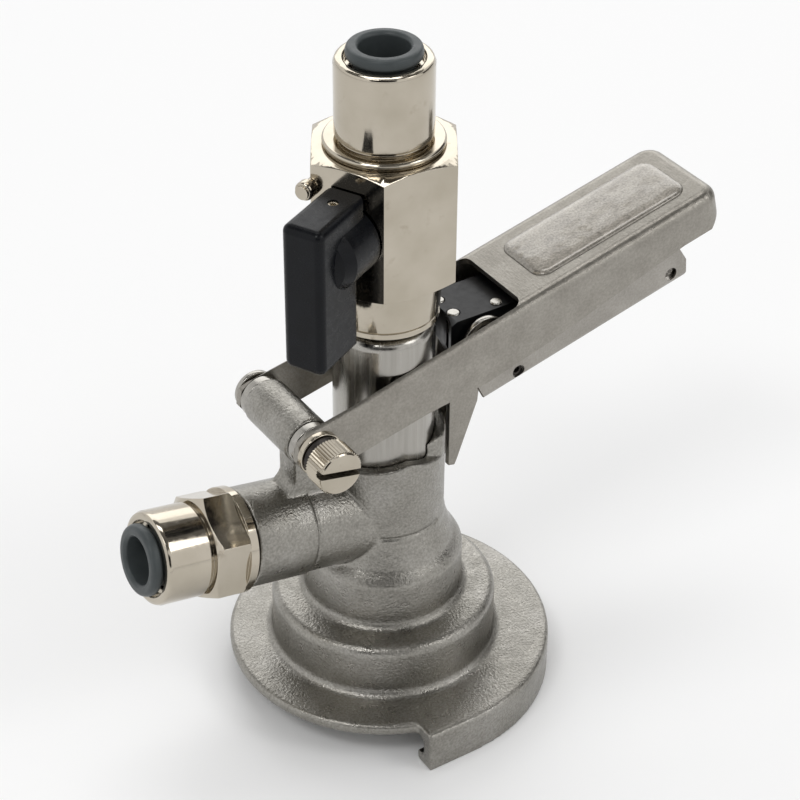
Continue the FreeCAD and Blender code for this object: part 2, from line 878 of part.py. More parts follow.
def drive_slots():
    """The two slots that the drive pins work in, with the middle of the probe left whole."""
    tool = new_body("slot_tool")
    reach = g.probe_radius + 1
    pad(tool, draw_outline(sketch_on(tool, "XZ_Plane", "slot_outline"), [
        (-reach, slot_foot), (reach, slot_foot), (reach, slot_top), (-reach, slot_top)]),
        2 * reach)
    middle = block("slot_middle", 4 * g.probe_radius, 2 * g.slot_flat, 4 * g.drive_radius,
                   at(-2 * g.probe_radius, -g.slot_flat, slot_foot - g.drive_radius))
    return cut("slots", tool, middle)


def ring_seal(node, radius, wire_out, foot, length):
    """A rubber ring between two radii, with rounded corners."""
    corner = length / 8
    keep(turned(node, [
        (radius, foot + corner), (radius + corner, foot), (wire_out - corner, foot),
        (wire_out, foot + corner), (wire_out, foot + length - corner),
        (wire_out - corner, foot + length), (radius + corner, foot + length),
        (radius, foot + length - corner)]), node)


def probe_rings():
    ring_seal("probe_o_ring", g.probe_radius - g.ring_groove_depth, g.probe_radius + 0.04,
              g.ring_groove_at, g.ring_groove_length)
    ring_seal("probe_tip_seal", g.tip_seal_radius, g.tip_radius, g.tip_height,
              g.tip_seal_thickness)


def check_ball_pieces():
    cage_foot = g.tip_height
    cage_top = cage_foot + g.cage_thickness
    body = turned("ball_cage", [
        (g.cage_bore, cage_foot), (g.ball_room, cage_foot), (g.ball_room, cage_top),
        (g.cage_bore + 0.8, cage_top), (g.cage_bore, cage_top - 0.8)])
    slot = block("cage_slot", 2 * g.ball_room - 2, g.cage_slot, g.cage_thickness,
                 at(1 - g.ball_room, -g.cage_slot / 2, cage_foot + 0.8))
    cross = block("cage_cross", g.cage_slot, 2 * g.ball_room - 2, g.cage_thickness,
                  at(-g.cage_slot / 2, 1 - g.ball_room, cage_foot + 0.8))
    keep(cut("cage", body, joined("cage_slots", [slot, cross])), "ball_cage")
    keep(ball("check_ball", g.check_ball_radius, at(0, 0, ball_height())), "check_ball")


def ball_height():
    """Centre of the floating ball as it lies on the 45 degree chamfer of its cage."""
    rise = (g.check_ball_radius + 0.02) / cosine(45) - g.cage_bore - 0.8
    return g.tip_height + g.cage_thickness + rise


# Ball valve


def valve_body():
    corner = g.hex_flats / as_size(math.sqrt(3))
    prism = hexagon("valve_hex", g.hex_flats, g.hex_length,
                    at(0, 0, hex_foot, (0, 0, 1), g.valve_turn + 30))
    edge = g.hex_flats / 2 - 0.2
    envelope = turned("valve_turned", [
        (0, hex_foot), (edge, hex_foot), (corner, hex_foot + g.hex_drop),
        (corner, hex_top - g.hex_drop), (edge, hex_top), (0, hex_top)])
    low = g.collar_radius - g.collar_taper
    collar = turned("valve_collar", [
        (0, collar_foot), (low - 0.4, collar_foot), (low, collar_foot + 0.4),
        (low, collar_foot + 1.6), (low - 0.4, collar_foot + 1.8), (low, collar_foot + 2.0),
        (g.collar_radius, hex_foot - 1.5), (g.collar_radius, hex_foot + 1), (0, hex_foot + 1)])
    stop = cylinder("valve_stop", g.stop_radius, g.stop_stand + 6,
                    f"{stem_place} * {at(-g.stop_rise, -g.stop_side, g.hex_flats / 2 - 6)}")
    solid = joined("valve_solid", [shared("valve_form", prism, envelope), collar, stop])
    room_foot = stem_height - g.seat_play - seat_reach()
    way = turned("valve_way", [
        (0, collar_foot - 1), (g.spigot_thread, collar_foot - 1),
        (g.spigot_thread, collar_foot + g.spigot_thread_length),
        (g.bore_radius, collar_foot + g.spigot_thread_length), (g.bore_radius, room_foot),
        (g.valve_room_radius, room_foot), (g.valve_room_radius, hex_top + 1),
        (0, hex_top + 1)])
    stem_hole = turned("stem_hole", [
        (0, 0), (g.stem_radius + g.stem_play, 0),
        (g.stem_radius + g.stem_play, g.hex_flats / 2 - g.gland_depth),
        (g.gland_radius, g.hex_flats / 2 - g.gland_depth),
        (g.gland_radius, g.hex_flats / 2 + 6), (0, g.hex_flats / 2 + 6)], stem_place)
    keep(cut("valve", solid, joined("valve_ways", [way, stem_hole])), "valve_body")


def seat_reach():
    """How far the foot of a seat lies from the middle of the ball."""
    return 0.7 * g.valve_ball_radius + g.seat_thickness


def valve_seats():
    """Two plastic seats with a conical face on the ball, below and above it."""
    start = 0.7 * g.valve_ball_radius
    reach = seat_reach()
    deep = start + g.seat_thickness / 3
    lip = cone_radius(start)
    throat = cone_radius(deep)
    bore = g.bore_radius + 0.3
    upper = [(bore, stem_height + reach), (g.seat_radius, stem_height + reach),
             (g.seat_radius, stem_height + start), (lip, stem_height + start),
             (throat, stem_height + deep), (bore, stem_height + deep + 0.55)]
    lower = [(bore, stem_height - reach), (g.seat_radius, stem_height - reach),
             (g.seat_radius, stem_height - start), (lip, stem_height - start),
             (throat, stem_height - deep), (bore, stem_height - deep - 0.55)]
    keep(turned("lower_seat", lower), "lower_ball_seat")
    keep(turned("upper_seat", upper), "upper_ball_seat")


def cone_radius(offset):
    """Radius of a seat's cone, which touches the ball, at an offset from its middle."""
    reach = g.valve_ball_radius + g.seat_play
    return (reach - offset * cosine(g.seat_angle)) / sine(g.seat_angle)


def valve_ball():
    solid = ball("valve_ball", g.valve_ball_radius, at(0, 0, stem_height))
    way = cylinder("ball_way", g.bore_radius, 4 * g.valve_ball_radius,
                   at(0, 0, stem_height - 2 * g.valve_ball_radius))
    slot_half = g.tang_half + g.stem_play
    slot_corner = at(-g.valve_ball_radius, -slot_half, g.valve_ball_radius - g.tang_depth)
    tang = block("ball_slot", 2 * g.valve_ball_radius, 2 * slot_half, 2 * g.tang_depth,
                 f"{stem_place} * {slot_corner}")
    keep(cut("ball_bored", solid, joined("ball_ways", [way, tang])), "valve_ball")


def valve_stem():
    """Stem with a flat tang in the ball and a dimple for the set screw of the knob."""
    tang_foot = g.valve_ball_radius - g.tang_depth + 0.1
    shank_foot = g.valve_ball_radius + 0.2
    end = g.hex_flats / 2 + g.knob_gap + g.knob_hub_length - 4
    shank = turned("stem_shank", [
        (0, shank_foot), (g.stem_radius, shank_foot), (g.stem_radius, end), (0, end)],
        stem_place)
    tang = block("stem_tang", 2 * g.stem_radius - 1, 2 * g.tang_half, shank_foot - tang_foot + 0.5,
                 f"{stem_place} * {at(0.5 - g.stem_radius, -g.tang_half, tang_foot)}")
    dimple = cylinder("stem_dimple", g.knob_screw_radius + g.stem_play, g.stem_radius,
                      knob_screw_place(g.knob_screw_foot - g.stem_play))
    keep(cut("stem", joined("stem_solid", [shank, tang]), dimple), "valve_stem")


def knob_screw_place(rise):
    """Placement on the axis of the set screw, which comes down on the stem from above."""
    return f"{stem_place} * {at(-rise, 0, g.knob_screw_at, (0, 1, 0), -90)}"


def stem_packing():
    foot = g.hex_flats / 2 - g.gland_depth
    ring_top = foot + g.stem_ring_length
    inner = g.stem_radius + g.stem_play
    keep(turned("stem_ring", [
        (inner, foot + 0.3), (inner + 0.3, foot), (g.gland_radius - 0.3, foot),
        (g.gland_radius, foot + 0.3), (g.gland_radius, ring_top), (inner, ring_top)],
        stem_place), "stem_o_ring")
    keep(turned("stem_gland", [
        (inner, ring_top), (g.gland_radius, ring_top), (g.gland_radius, g.hex_flats / 2),
        (inner, g.hex_flats / 2)], stem_place), "stem_gland")


def valve_knob():
    """Black knob: a flat arm over a round hub, with a paddle hanging at its end."""
    inner = g.hex_flats / 2 + g.knob_gap
    paddle = g.knob_reach - g.knob_paddle
    body = new_body("knob", stem_place)
    pad(body, draw_outline(sketch_on(body, "XZ_Plane", "knob_outline"), [
        (-g.knob_rise, inner), (-g.knob_rise, g.knob_reach), (g.knob_drop, g.knob_reach),
        (g.knob_drop, paddle), (0, paddle), (0, inner)]), 2 * g.knob_half)
    reach = g.knob_reach.value
    half = g.knob_half.value

    def outer_edge(edge):
        box = edge.BoundBox
        on_end = abs(box.ZMin - reach) < 1e-3 and abs(box.ZMax - reach) < 1e-3
        along = abs(box.YMin - box.YMax) < 1e-3 and abs(abs(box.YMin) - half) < 1e-3
        return on_end or (along and box.XMax - box.XMin + box.ZMax - box.ZMin > 9)

    round_edges(body, g.knob_round, outer_edge)
    hub = turned("knob_hub", [
        (0, inner), (g.knob_hub, inner), (g.knob_hub, inner + g.knob_hub_length - 4),
        (g.knob_hub - 1.4, inner + g.knob_hub_length - 1.4),
        (g.knob_hub - 4, inner + g.knob_hub_length), (0, inner + g.knob_hub_length)],
        stem_place)
    socket = cylinder("knob_socket", g.stem_radius, g.knob_hub_length - 4 + 0.1,
                      f"{stem_place} * {at(0, 0, inner - 0.1)}")
    screw_way = cylinder("knob_screw_way", g.knob_screw_radius, g.knob_rise,
                         knob_screw_place(0))
    whole = joined("knob_solid", [body, hub])
    keep(cut("knob_bored", whole, joined("knob_ways", [socket, screw_way])), "valve_knob")
    length = g.knob_rise - g.knob_screw_sunk - g.knob_screw_foot
    screw = cylinder("knob_screw", g.knob_screw_radius, length,
                     knob_screw_place(g.knob_screw_foot))
    key = hexagon("screw_key", g.knob_screw_flats, 2,
                  knob_screw_place(g.knob_rise - g.knob_screw_sunk - 1))
    keep(cut("knob_screw_cut", screw, key), "knob_screw")


def top_foot():
    return stem_height + g.seat_play + seat_reach()


def top_socket_foot():
    return top_barrel_foot + 1.5


def top_fitting():
    foot = top_foot()
    outside = [
        (g.bore_radius, foot), (g.valve_room_radius, foot), (g.valve_room_radius, hex_top),
        (g.top_flange_radius - 0.5, hex_top), (g.top_flange_radius - 0.5, hex_top + 0.3),
        (g.top_flange_radius, hex_top + 0.4),
        (g.top_flange_radius, hex_top + g.top_flange_length - 0.4),
        (g.top_flange_radius - 0.4, hex_top + g.top_flange_length),
        (g.groove_radius, hex_top + g.top_flange_length), (g.groove_radius, top_barrel_foot),
        (g.barrel_radius, top_barrel_foot)] + barrel_end(top_barrel_top)
    body = turned("top_fitting", outside + socket_points(top_socket_foot(), top_barrel_top))
    keep(body, "top_fitting")


# Lever, drawn in its own frame: x along the arms from the pivot, z up


def arm_bottom():
    """The lower edge of the side walls from the eye to the end of the grip."""
    return [(0, -g.eye_radius), (g.arm_full_at, -g.arm_depth),
            (g.arm_even_to, -g.arm_depth - 0.4), (g.deepest_at, -g.arm_deepest),
            (g.deepest_to, -g.arm_deepest + 0.7), (g.lever_end - g.grip_even, -g.grip_depth),
            (g.lever_end - g.grip_nose, -g.grip_depth),
            (g.lever_end, g.grip_nose_rise - g.grip_depth)]


def lever_handle():
    body = new_body("lever", lever_place)
    outline = arm_bottom() + [(g.lever_end, g.lever_top), (10, g.lever_top),
                              (0, g.eye_radius), (-g.eye_radius * 0.71, g.eye_radius * 0.71),
                              (-g.eye_radius, 0), (-g.eye_radius * 0.71, -g.eye_radius * 0.71)]
    pad(body, draw_outline(sketch_on(body, "XZ_Plane", "lever_side"), outline),
        2 * g.lever_half)
    top, half, end = g.lever_top.value, g.lever_half.value, g.lever_end.value

    def end_corner(edge):
        box = edge.BoundBox
        return (abs(box.XMin - end) < 1e-3 and abs(box.XMax - end) < 1e-3
                and abs(abs(box.YMin) - half) < 1e-3 and abs(box.YMin - box.YMax) < 1e-3)

    round_edges(body, g.grip_corner, end_corner)

    def top_edge(edge):
        box = edge.BoundBox
        return (abs(box.ZMin - top) < 1e-3 and abs(box.ZMax - top) < 1e-3
                and box.XMax > 12)

    round_edges(body, g.lever_round, top_edge)
    inside = sketch_on(body, "XZ_Plane", "lever_inside")
    ceiling = g.lever_top - g.lever_sheet
    draw_outline(inside, [
        (-2 * g.eye_radius, -40), (g.lever_end - g.lever_sheet, -40),
        (g.lever_end - g.lever_sheet, ceiling), (g.window_end, ceiling),
        (g.window_end, 40), (-2 * g.eye_radius, 40)])
    pocket(body, inside, 2 * arm_inside)
    window, wall = g.window_end.value, arm_inside.value

    def window_corner(edge):
        box = edge.BoundBox
        return (abs(box.XMin - window) < 1e-3 and abs(box.XMax - window) < 1e-3
                and abs(abs(box.YMin) - wall) < 1e-3 and abs(box.YMax - box.YMin) < 1e-3)

    round_edges(body, g.window_round, window_corner)
    holes = sketch_on(body, "XZ_Plane", "lever_holes")
    draw_circle(holes, 0, 0, g.screw_radius + g.pin_play)
    pocket(body, holes, 4 * g.lever_half)
    stubs = sketch_on(body, "XZ_Plane", "stub_holes")
    draw_circle(stubs, g.drive_reach, 0, g.drive_stub)
    draw_circle(stubs, g.latch_at, -g.latch_drop, g.latch_pin_radius)
    pocket(body, stubs, 2 * (arm_inside + g.drive_stub_depth))
    recess = sketch_on(body, "XY_Plane", "badge_recess", g.lever_top)
    draw_outline(recess, [(g.badge_start, -g.badge_half), (g.badge_end, -g.badge_half),
                          (g.badge_end, g.badge_half), (g.badge_start, g.badge_half)])
    pocket(body, recess, g.badge_depth, both=False)
    corners = [(x.value, y.value) for x in (g.badge_start, g.badge_end)
               for y in (g.badge_half, -g.badge_half)]

    def recess_corner(edge):
        box = edge.BoundBox
        upright = box.XMax - box.XMin < 1e-3 and box.YMax - box.YMin < 1e-3
        return upright and any(math.hypot(box.XMin - x, box.YMin - y) < 1e-3
                               for x, y in corners)

    round_edges(body, g.badge_corner + g.badge_play, recess_corner)
    keep(body, "lever_handle")


def handle_badge():
    """A bare domed plate in the recess of the grip."""
    body = new_body("badge", lever_place)
    floor = g.lever_top - g.badge_depth
    play = g.badge_play
    plate = sketch_on(body, "XY_Plane", "badge_plate", floor)
    draw_outline(plate, [
        (g.badge_start + play, -g.badge_half + play), (g.badge_end - play, -g.badge_half + play),
        (g.badge_end - play, g.badge_half - play), (g.badge_start + play, g.badge_half - play)])
    pad(body, plate, g.badge_thickness, both=False)
    height = (floor + g.badge_thickness).value

    def upright(edge):
        box = edge.BoundBox
        return box.ZMax - box.ZMin > 0.5 * g.badge_thickness.value

    round_edges(body, g.badge_corner, upright)
    round_edges(body, g.badge_thickness / 3, lambda edge: abs(edge.BoundBox.ZMin - height) < 1e-4)
    keep(body, "handle_badge")


def along_pivot(start, side):
    """Placement on the pivot axis, z pointing to the near (-Y) or the far side."""
    angle = 90 if side < 0 else -90
    return f"{lever_place} * {at(0, 0, 0, (1, 0, 0), angle)} * {at(0, 0, start)}"


def pivot_stack():
    bore = g.screw_radius + g.pin_play
    sleeve = g.screw_radius + g.sleeve_wall
    spacer = arm_inside - g.side_play - g.pivot_half - g.side_play
    keep(turned("pivot_sleeve", [
        (bore, -arm_inside), (sleeve, -arm_inside), (sleeve, arm_inside),
        (bore, arm_inside)], along_pivot(0, -1)), "pivot_sleeve")
    rings = [turned("spacer", [
        (sleeve + g.pin_play, 0), (g.spacer_radius, 0), (g.spacer_radius, spacer),
        (sleeve + g.pin_play, spacer)], along_pivot(g.pivot_half + g.side_play, side))
        for side in (-1, 1)]
    keep(joined("spacers", rings), "arm_spacers")
    start = g.lever_half
    keep(turned("outer_washer", [
        (bore, 0), (g.spacer_radius, 0), (g.spacer_radius, g.outer_washer),
        (bore, g.outer_washer)], along_pivot(start, -1)), "pivot_washer")
    start = start + g.outer_washer
    keep(turned("dark_washer", [
        (bore, 0), (g.dark_washer_radius, 0), (g.dark_washer_radius, g.dark_washer),
        (bore, g.dark_washer)], along_pivot(start, -1)), "pivot_lock_ring")
    start = start + g.dark_washer
    pivot_screw(start)
    keep(turned("pivot_nut", [
        (g.screw_radius, 0), (g.nut_radius, 0), (g.nut_radius, g.nut_length - 0.5),
        (g.nut_radius - 0.5, g.nut_length), (g.screw_radius, g.nut_length)],
        along_pivot(g.lever_half, 1)), "pivot_nut")


def pivot_screw(head_foot):
    tail = -g.lever_half - g.nut_length
    body = turned("pivot_screw", [
        (0, tail), (g.screw_radius, tail), (g.screw_radius, head_foot),
        (g.head_radius - 0.4, head_foot), (g.head_radius, head_foot + 0.4),
        (g.head_radius, head_foot + g.head_length - 0.5),
        (g.head_radius - 0.5, head_foot + g.head_length), (0, head_foot + g.head_length)],
        along_pivot(0, -1))
    slot_floor = head_foot + g.head_length - g.head_slot_depth
    slot_corner = at(-2 * g.head_radius, -g.head_slot / 2, slot_floor)
    slot = block("screw_slot", 4 * g.head_radius, g.head_slot, 2 * g.head_slot_depth,
                 f"{along_pivot(0, -1)} * {at(0, 0, 0, (0, 0, 1), g.head_slot_turn)} * "
                 f"{slot_corner}")
    keep(cut("screw_slotted", body, slot), "pivot_screw")


def on_arm(x, z, start, side):
    """Placement across the lever at a point of the arms."""
    angle = 90 if side < 0 else -90
    return f"{lever_place} * {at(x, 0, z, (1, 0, 0), angle)} * {at(0, 0, start)}"


def drive_pins():
    inner = g.slot_flat + g.drive_gap
    pins = [turned("drive_pin", [
        (0, inner), (g.drive_radius - 0.4, inner), (g.drive_radius, inner + 0.4),
        (g.drive_radius, arm_inside), (g.drive_stub, arm_inside),
        (g.drive_stub, arm_inside + g.drive_stub_depth), (0, arm_inside + g.drive_stub_depth)],
        on_arm(g.drive_reach, 0, 0, side)) for side in (-1, 1)]
    keep(joined("drive_pins", pins), "drive_pins")


# Latch and trigger


def latch_hardware():
    end = arm_inside + g.drive_stub_depth
    keep(turned("latch_pin", [
        (0, -end), (g.latch_pin_radius, -end), (g.latch_pin_radius, end), (0, end)],
        on_arm(g.latch_at, -g.latch_drop, 0, -1)), "latch_pin")
    discs = [turned("latch_disc", [
        (g.latch_pin_radius, 0), (g.disc_radius - 0.5, 0), (g.disc_radius, 0.5),
        (g.disc_radius, g.disc_thickness), (g.latch_pin_radius, g.disc_thickness)],
        on_arm(g.latch_at, -g.latch_drop, g.disc_inner, side)) for side in (-1, 1)]
    keep(joined("latch_discs", discs), "latch_discs")


def latch_claw():
    """Folded sheet claw beside the neck: two triangular legs and the web between them."""
    front = g.neck_radius + g.latch_gap
    body = new_body("claw")
    back = front + g.claw_shoulder_width
    pad(body, draw_outline(sketch_on(body, "XZ_Plane", "claw_side"), [
        (front, g.claw_foot), (front + g.claw_tip_width, g.claw_foot - 0.4),
        (front + g.claw_tip_width + 0.5, g.claw_foot + 0.6), (back, g.claw_shoulder),
        (back + 0.4, g.claw_shoulder + 4), (latch_x + g.claw_head, latch_z),
        (latch_x + g.claw_head * 0.7, latch_z + g.claw_head * 0.7),
        (latch_x, latch_z + g.claw_head), (latch_x - g.claw_head * 0.7, latch_z + g.claw_head * 0.7),
        (latch_x - g.claw_head, latch_z), (front, g.claw_shoulder + 3.6),
        (front, g.claw_shoulder - 3)]), 2 * g.claw_half)
    inside = sketch_on(body, "XZ_Plane", "claw_inside")
    sheet_in = g.claw_sheet * 1.1
    draw_outline(inside, [
        (front - 3, g.claw_foot - 3), (front + g.claw_tip_width - 0.6, g.claw_foot - 3),
        (back - sheet_in, g.claw_shoulder), (back + 0.4 - sheet_in, g.claw_shoulder + 4),
        (back + 0.4 - sheet_in, latch_z - g.claw_web_drop), (back + 20, latch_z - g.claw_web_drop),
        (back + 20, latch_z + 20), (front - 3, latch_z + 20)])
    pocket(body, inside, 2 * (g.claw_half - g.claw_sheet))
    hole = sketch_on(body, "XZ_Plane", "claw_hole")
    draw_circle(hole, latch_x, latch_z, g.latch_pin_radius + g.pin_play)
    pocket(body, hole, 4 * g.claw_half)
    keep(body, "latch_claw")


def latch_block():
    """Black plastic block on the latch pin, hollowed round the neck and the probe."""
    front = g.neck_radius + g.latch_gap
    low = latch_z - g.block_drop
    high = latch_z + g.block_rise
    body = new_body("latch_block")
    pad(body, draw_outline(sketch_on(body, "XZ_Plane", "block_side"), [
        (front - 6, low + 4), (front, low), (latch_x + g.block_slope, low),
        (latch_x + g.block_back, low + g.block_slope), (latch_x + g.block_back, high - 2),
        (latch_x + g.block_back - 2, high), (front, high), (front - 6, high - 3)]),
        2 * g.block_half)
    depth = g.pivot_height
    hollow = cylinder("block_hollow", front, depth, at(0, 0, latch_z - depth / 2))
    lowered = (f"{at(-g.pivot_back, 0, g.pivot_height, (0, 1, 0), -g.lever_travel)} * "
               f"{at(g.pivot_back, 0, -g.pivot_height)}")
    neck = cylinder("block_neck", g.neck_radius + g.block_play, g.rim_height + 6, lowered)
    length = g.block_slot_back + latch_x - front + 10
    slots = [block("claw_slot", length, g.claw_sheet + 2 * g.pin_play,
                   g.block_slot_rise + g.block_drop + 20,
                   at(front - 10, where, low - 20))
             for where in (g.claw_half - g.claw_sheet - g.pin_play, -g.claw_half - g.pin_play)]
    coil_out = g.coil_radius + g.coil_wire + 0.25
    rooms = [turned("coil_room", [
        (0, g.claw_half - 0.1), (coil_out, g.claw_half - 0.1), (coil_out, g.block_half + 1),
        (0, g.block_half + 1)],
        f"{at(latch_x, 0, latch_z, (1, 0, 0), angle)}") for angle in (90, -90)]
    bore = cylinder("block_bore", g.latch_pin_radius + g.pin_play, 4 * g.block_half,
                    at(latch_x, 2 * g.block_half, latch_z, (1, 0, 0), 90))
    vents = [cylinder("block_vent", g.vent_radius, depth,
                      at(front + 1.4, where, latch_z - depth / 2))
             for where in (-g.vent_side, g.vent_side)]
    keep(cut("latch_block", body,
             joined("block_cuts", [hollow, neck, bore] + slots + rooms + vents)),
         "latch_block")


def latch_springs():
    """Two small torsion coils on the latch pin, inside the block."""
    coils = []
    start = g.claw_half + g.coil_wire + 0.15
    for side, angle in ((-1, 90), (1, -90)):
        where = at(latch_x, side * start, latch_z, (1, 0, 0), angle)
        helix = place(doc.addObject("Part::Helix", fresh("coil_line")), where)
        helix.setExpression("Pitch", g.coil_pitch.text)
        helix.setExpression("Height", (g.coil_pitch * g.coil_turns).text)
        helix.setExpression("Radius", g.coil_radius.text)
        section = doc.addObject("Part::Circle", fresh("coil_section"))
        section.setExpression("Radius", g.coil_wire.text)
        place(section, f"{where} * {at(g.coil_radius, 0, 0, (1, 0, 0), 90)}")
        coil = doc.addObject("Part::Sweep", fresh("coil"))
        coil.Sections = [section]
        coil.Spine = helix
        coil.Solid = True
        coil.Frenet = True
        coils.append(coil)
    keep(joined("coils", coils), "latch_springs")


def trigger():
    """Folded sheet trigger under the grip: two side walls, a finger web and pivot ears."""
    body = new_body("trigger", lever_place)
    bottom, top = -g.trigger_bottom, -g.trigger_top
    ear = g.trigger_ear
    start, end = g.trigger_start, g.trigger_end
    outline = sketch_on(body, "XZ_Plane", "trigger_side")
    draw_outline(outline, [
        (start + 1.2, bottom), (end - 1.2, bottom), (end, bottom + 1.2),
        (end + 0.6, bottom + 5), (end - 0.6, bottom + 8.5), (end - 3, top),
        (g.latch_at + ear + 2, top), (g.latch_at + ear * 0.7, ear * 0.7 - g.latch_drop),
        (g.latch_at, ear - g.latch_drop), (g.latch_at - ear * 0.7, ear * 0.7 - g.latch_drop),
        (g.latch_at - ear, -g.latch_drop), (start, bottom + 5)])
    outer = arm_inside - g.trigger_play
    pad(body, outline, 2 * outer)
    low = bottom.value
    side = outer.value

    def finger_edge(edge):
        box = edge.BoundBox
        return (abs(box.ZMin - low) < 1e-3 and abs(box.ZMax - low) < 1e-3
                and abs(abs(box.YMin) - side) < 1e-3 and box.XMax - box.XMin > 20)

    round_edges(body, g.trigger_round, finger_edge)
    inside = sketch_on(body, "XZ_Plane", "trigger_inside")
    draw_outline(inside, [
        (start - 5, 2 * bottom), (g.trigger_web_start, 2 * bottom),
        (g.trigger_web_start, bottom + g.trigger_sheet), (end + 9, bottom + g.trigger_sheet),
        (end + 9, -2 * bottom), (start - 5, -2 * bottom)])
    pocket(body, inside, 2 * (outer - g.trigger_sheet))
    holes = sketch_on(body, "XZ_Plane", "trigger_holes")
    draw_circle(holes, g.trigger_hole_front, bottom + g.trigger_hole_rise, g.trigger_hole)
    draw_circle(holes, g.trigger_hole_back, bottom + g.trigger_hole_rise + 1, g.trigger_hole)
    draw_circle(holes, g.latch_at, -g.latch_drop, g.latch_pin_radius + g.pin_play)
    pocket(body, holes, 4 * g.lever_half)
    keep(body, "trigger")


base_housing()
keg_seal()
gas_gasket()
gas_fitting()
seal_ring(gas_socket_foot(), gas_place, "gas_tube_o_ring")
collet(gas_socket_foot(), gas_barrel_top, gas_place, "gas_collet")
check_valve()
probe_tube()
probe_rings()
check_ball_pieces()
valve_body()
valve_seats()
valve_ball()
valve_stem()
stem_packing()
valve_knob()
top_fitting()
seal_ring(top_socket_foot(), None, "beer_tube_o_ring")
collet(top_socket_foot(), top_barrel_top, None, "beer_collet")
lever_handle()
handle_badge()
pivot_stack()
drive_pins()
latch_hardware()
latch_claw()
latch_block()
latch_springs()
trigger()

doc.recompute()

faults = [item.Name for item in doc.Objects
          if any(word in item.State for word in ("Invalid", "Error"))]
if faults:
    raise RuntimeError(f"failed objects: {faults}")
for node, thing in pieces:
    if thing.Shape.isNull() or not thing.Shape.isValid():
        raise RuntimeError(f"bad shape: {node}")

os.makedirs("parts", exist_ok=True)
for node, thing in pieces:
    thing.Shape.exportStep(f"parts/{node}.step")
    print(node, len(thing.Shape.Solids), round(thing.Shape.Volume, 2))
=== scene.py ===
import json
import math

import bmesh
import bpy
from mathutils import Matrix, Vector


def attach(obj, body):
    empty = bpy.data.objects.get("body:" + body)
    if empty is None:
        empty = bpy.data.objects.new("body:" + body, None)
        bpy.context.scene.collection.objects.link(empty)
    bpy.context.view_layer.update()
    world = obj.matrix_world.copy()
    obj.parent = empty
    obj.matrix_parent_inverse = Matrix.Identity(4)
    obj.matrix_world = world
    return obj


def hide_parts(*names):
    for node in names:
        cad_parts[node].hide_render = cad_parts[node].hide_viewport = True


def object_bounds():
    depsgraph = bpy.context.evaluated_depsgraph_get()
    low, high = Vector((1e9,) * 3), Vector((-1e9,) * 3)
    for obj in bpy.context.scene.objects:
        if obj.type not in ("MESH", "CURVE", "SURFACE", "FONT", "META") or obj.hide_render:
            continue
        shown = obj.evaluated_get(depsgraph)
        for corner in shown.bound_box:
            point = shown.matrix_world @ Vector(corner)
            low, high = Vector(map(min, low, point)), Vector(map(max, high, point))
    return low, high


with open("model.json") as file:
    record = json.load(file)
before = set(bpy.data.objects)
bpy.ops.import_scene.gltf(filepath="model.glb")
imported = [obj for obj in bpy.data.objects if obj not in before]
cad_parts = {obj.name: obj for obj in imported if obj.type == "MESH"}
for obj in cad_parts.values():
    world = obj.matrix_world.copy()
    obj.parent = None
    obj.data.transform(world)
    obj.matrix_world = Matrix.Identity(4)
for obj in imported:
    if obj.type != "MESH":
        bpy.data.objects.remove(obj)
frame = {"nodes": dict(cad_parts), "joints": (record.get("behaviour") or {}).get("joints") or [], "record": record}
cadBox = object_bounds()
nodes = frame["nodes"]
bodyOf = {node: body for body, members in frame["record"]["behaviour"]["bodies"].items()
          for node in members}
slotOf = {part["node"]: part["material_slot"] for part in frame["record"]["subparts"]}
joints = {joint["name"]: joint for joint in frame["joints"]}
mm = 0.001
print("frame loaded:", len(nodes), "nodes")


# Colour and node helpers

def linear(hexColour):
    # The standard curve from screen values to light
    values = [int(hexColour[i:i + 2], 16) / 255 for i in (1, 3, 5)]
    return [v / 12.92 if v <= 0.04045 else ((v + 0.055) / 1.055) ** 2.4 for v in values] + [1]


white = linear("#ffffff")


def addNode(tree, kind, settings=None, links=None):
    node = tree.nodes.new("ShaderNode" + kind)
    for name, value in (settings or {}).items():
        if isinstance(name, int) or name in node.inputs:
            node.inputs[name].default_value = value
        else:
            setattr(node, name, value)
    for name, source in (links or {}).items():
        tree.links.new(source, node.inputs[name])
    return node


def startMaterial(name):
    material = bpy.data.materials.new(name)
    material.use_nodes = True
    tree = material.node_tree
    return material, tree, tree.nodes["Principled BSDF"]


def perSize(size):
    return 1 / (size * mm)      # texture scale for a feature of this many millimetres


def addNoise(tree, place, size, detail=3.0, roughness=0.5):
    noise = addNode(tree, "TexNoise", {"Scale": perSize(size), "Detail": detail,
                                       "Roughness": roughness}, {"Vector": place})
    return noise.outputs["Fac"]


waveFactor = 20      # the wave texture multiplies its place by this


def addToolMarks(tree, place, size, distortion, detail, detailScale=1.0):
    # Rings along z, 2 pi times this many millimetres from one to the next
    marks = addNode(tree, "TexWave", {"wave_type": "BANDS", "bands_direction": "Z",
                                      "Scale": perSize(size) / waveFactor,
                                      "Distortion": distortion, "Detail": detail,
                                      "Detail Scale": detailScale}, {"Vector": place})
    return marks.outputs["Fac"]


def addRamp(tree, source, stops):
    ramp = addNode(tree, "ValToRGB", links={"Fac": source})
    elements = ramp.color_ramp.elements
    while len(elements) < len(stops):
        elements.new(1)
    for element, (place, colour) in zip(elements, stops):
        element.position = place
        element.color = linear(colour)
    return ramp.outputs["Color"]


noiseSpan = (0.3, 0.7)      # most values of a noise lie between these two
wornSpan = (0.35, 0.7)


def addTones(tree, source, dark, light, span=noiseSpan):
    return addRamp(tree, source, [(span[0], dark), (span[1], light)])


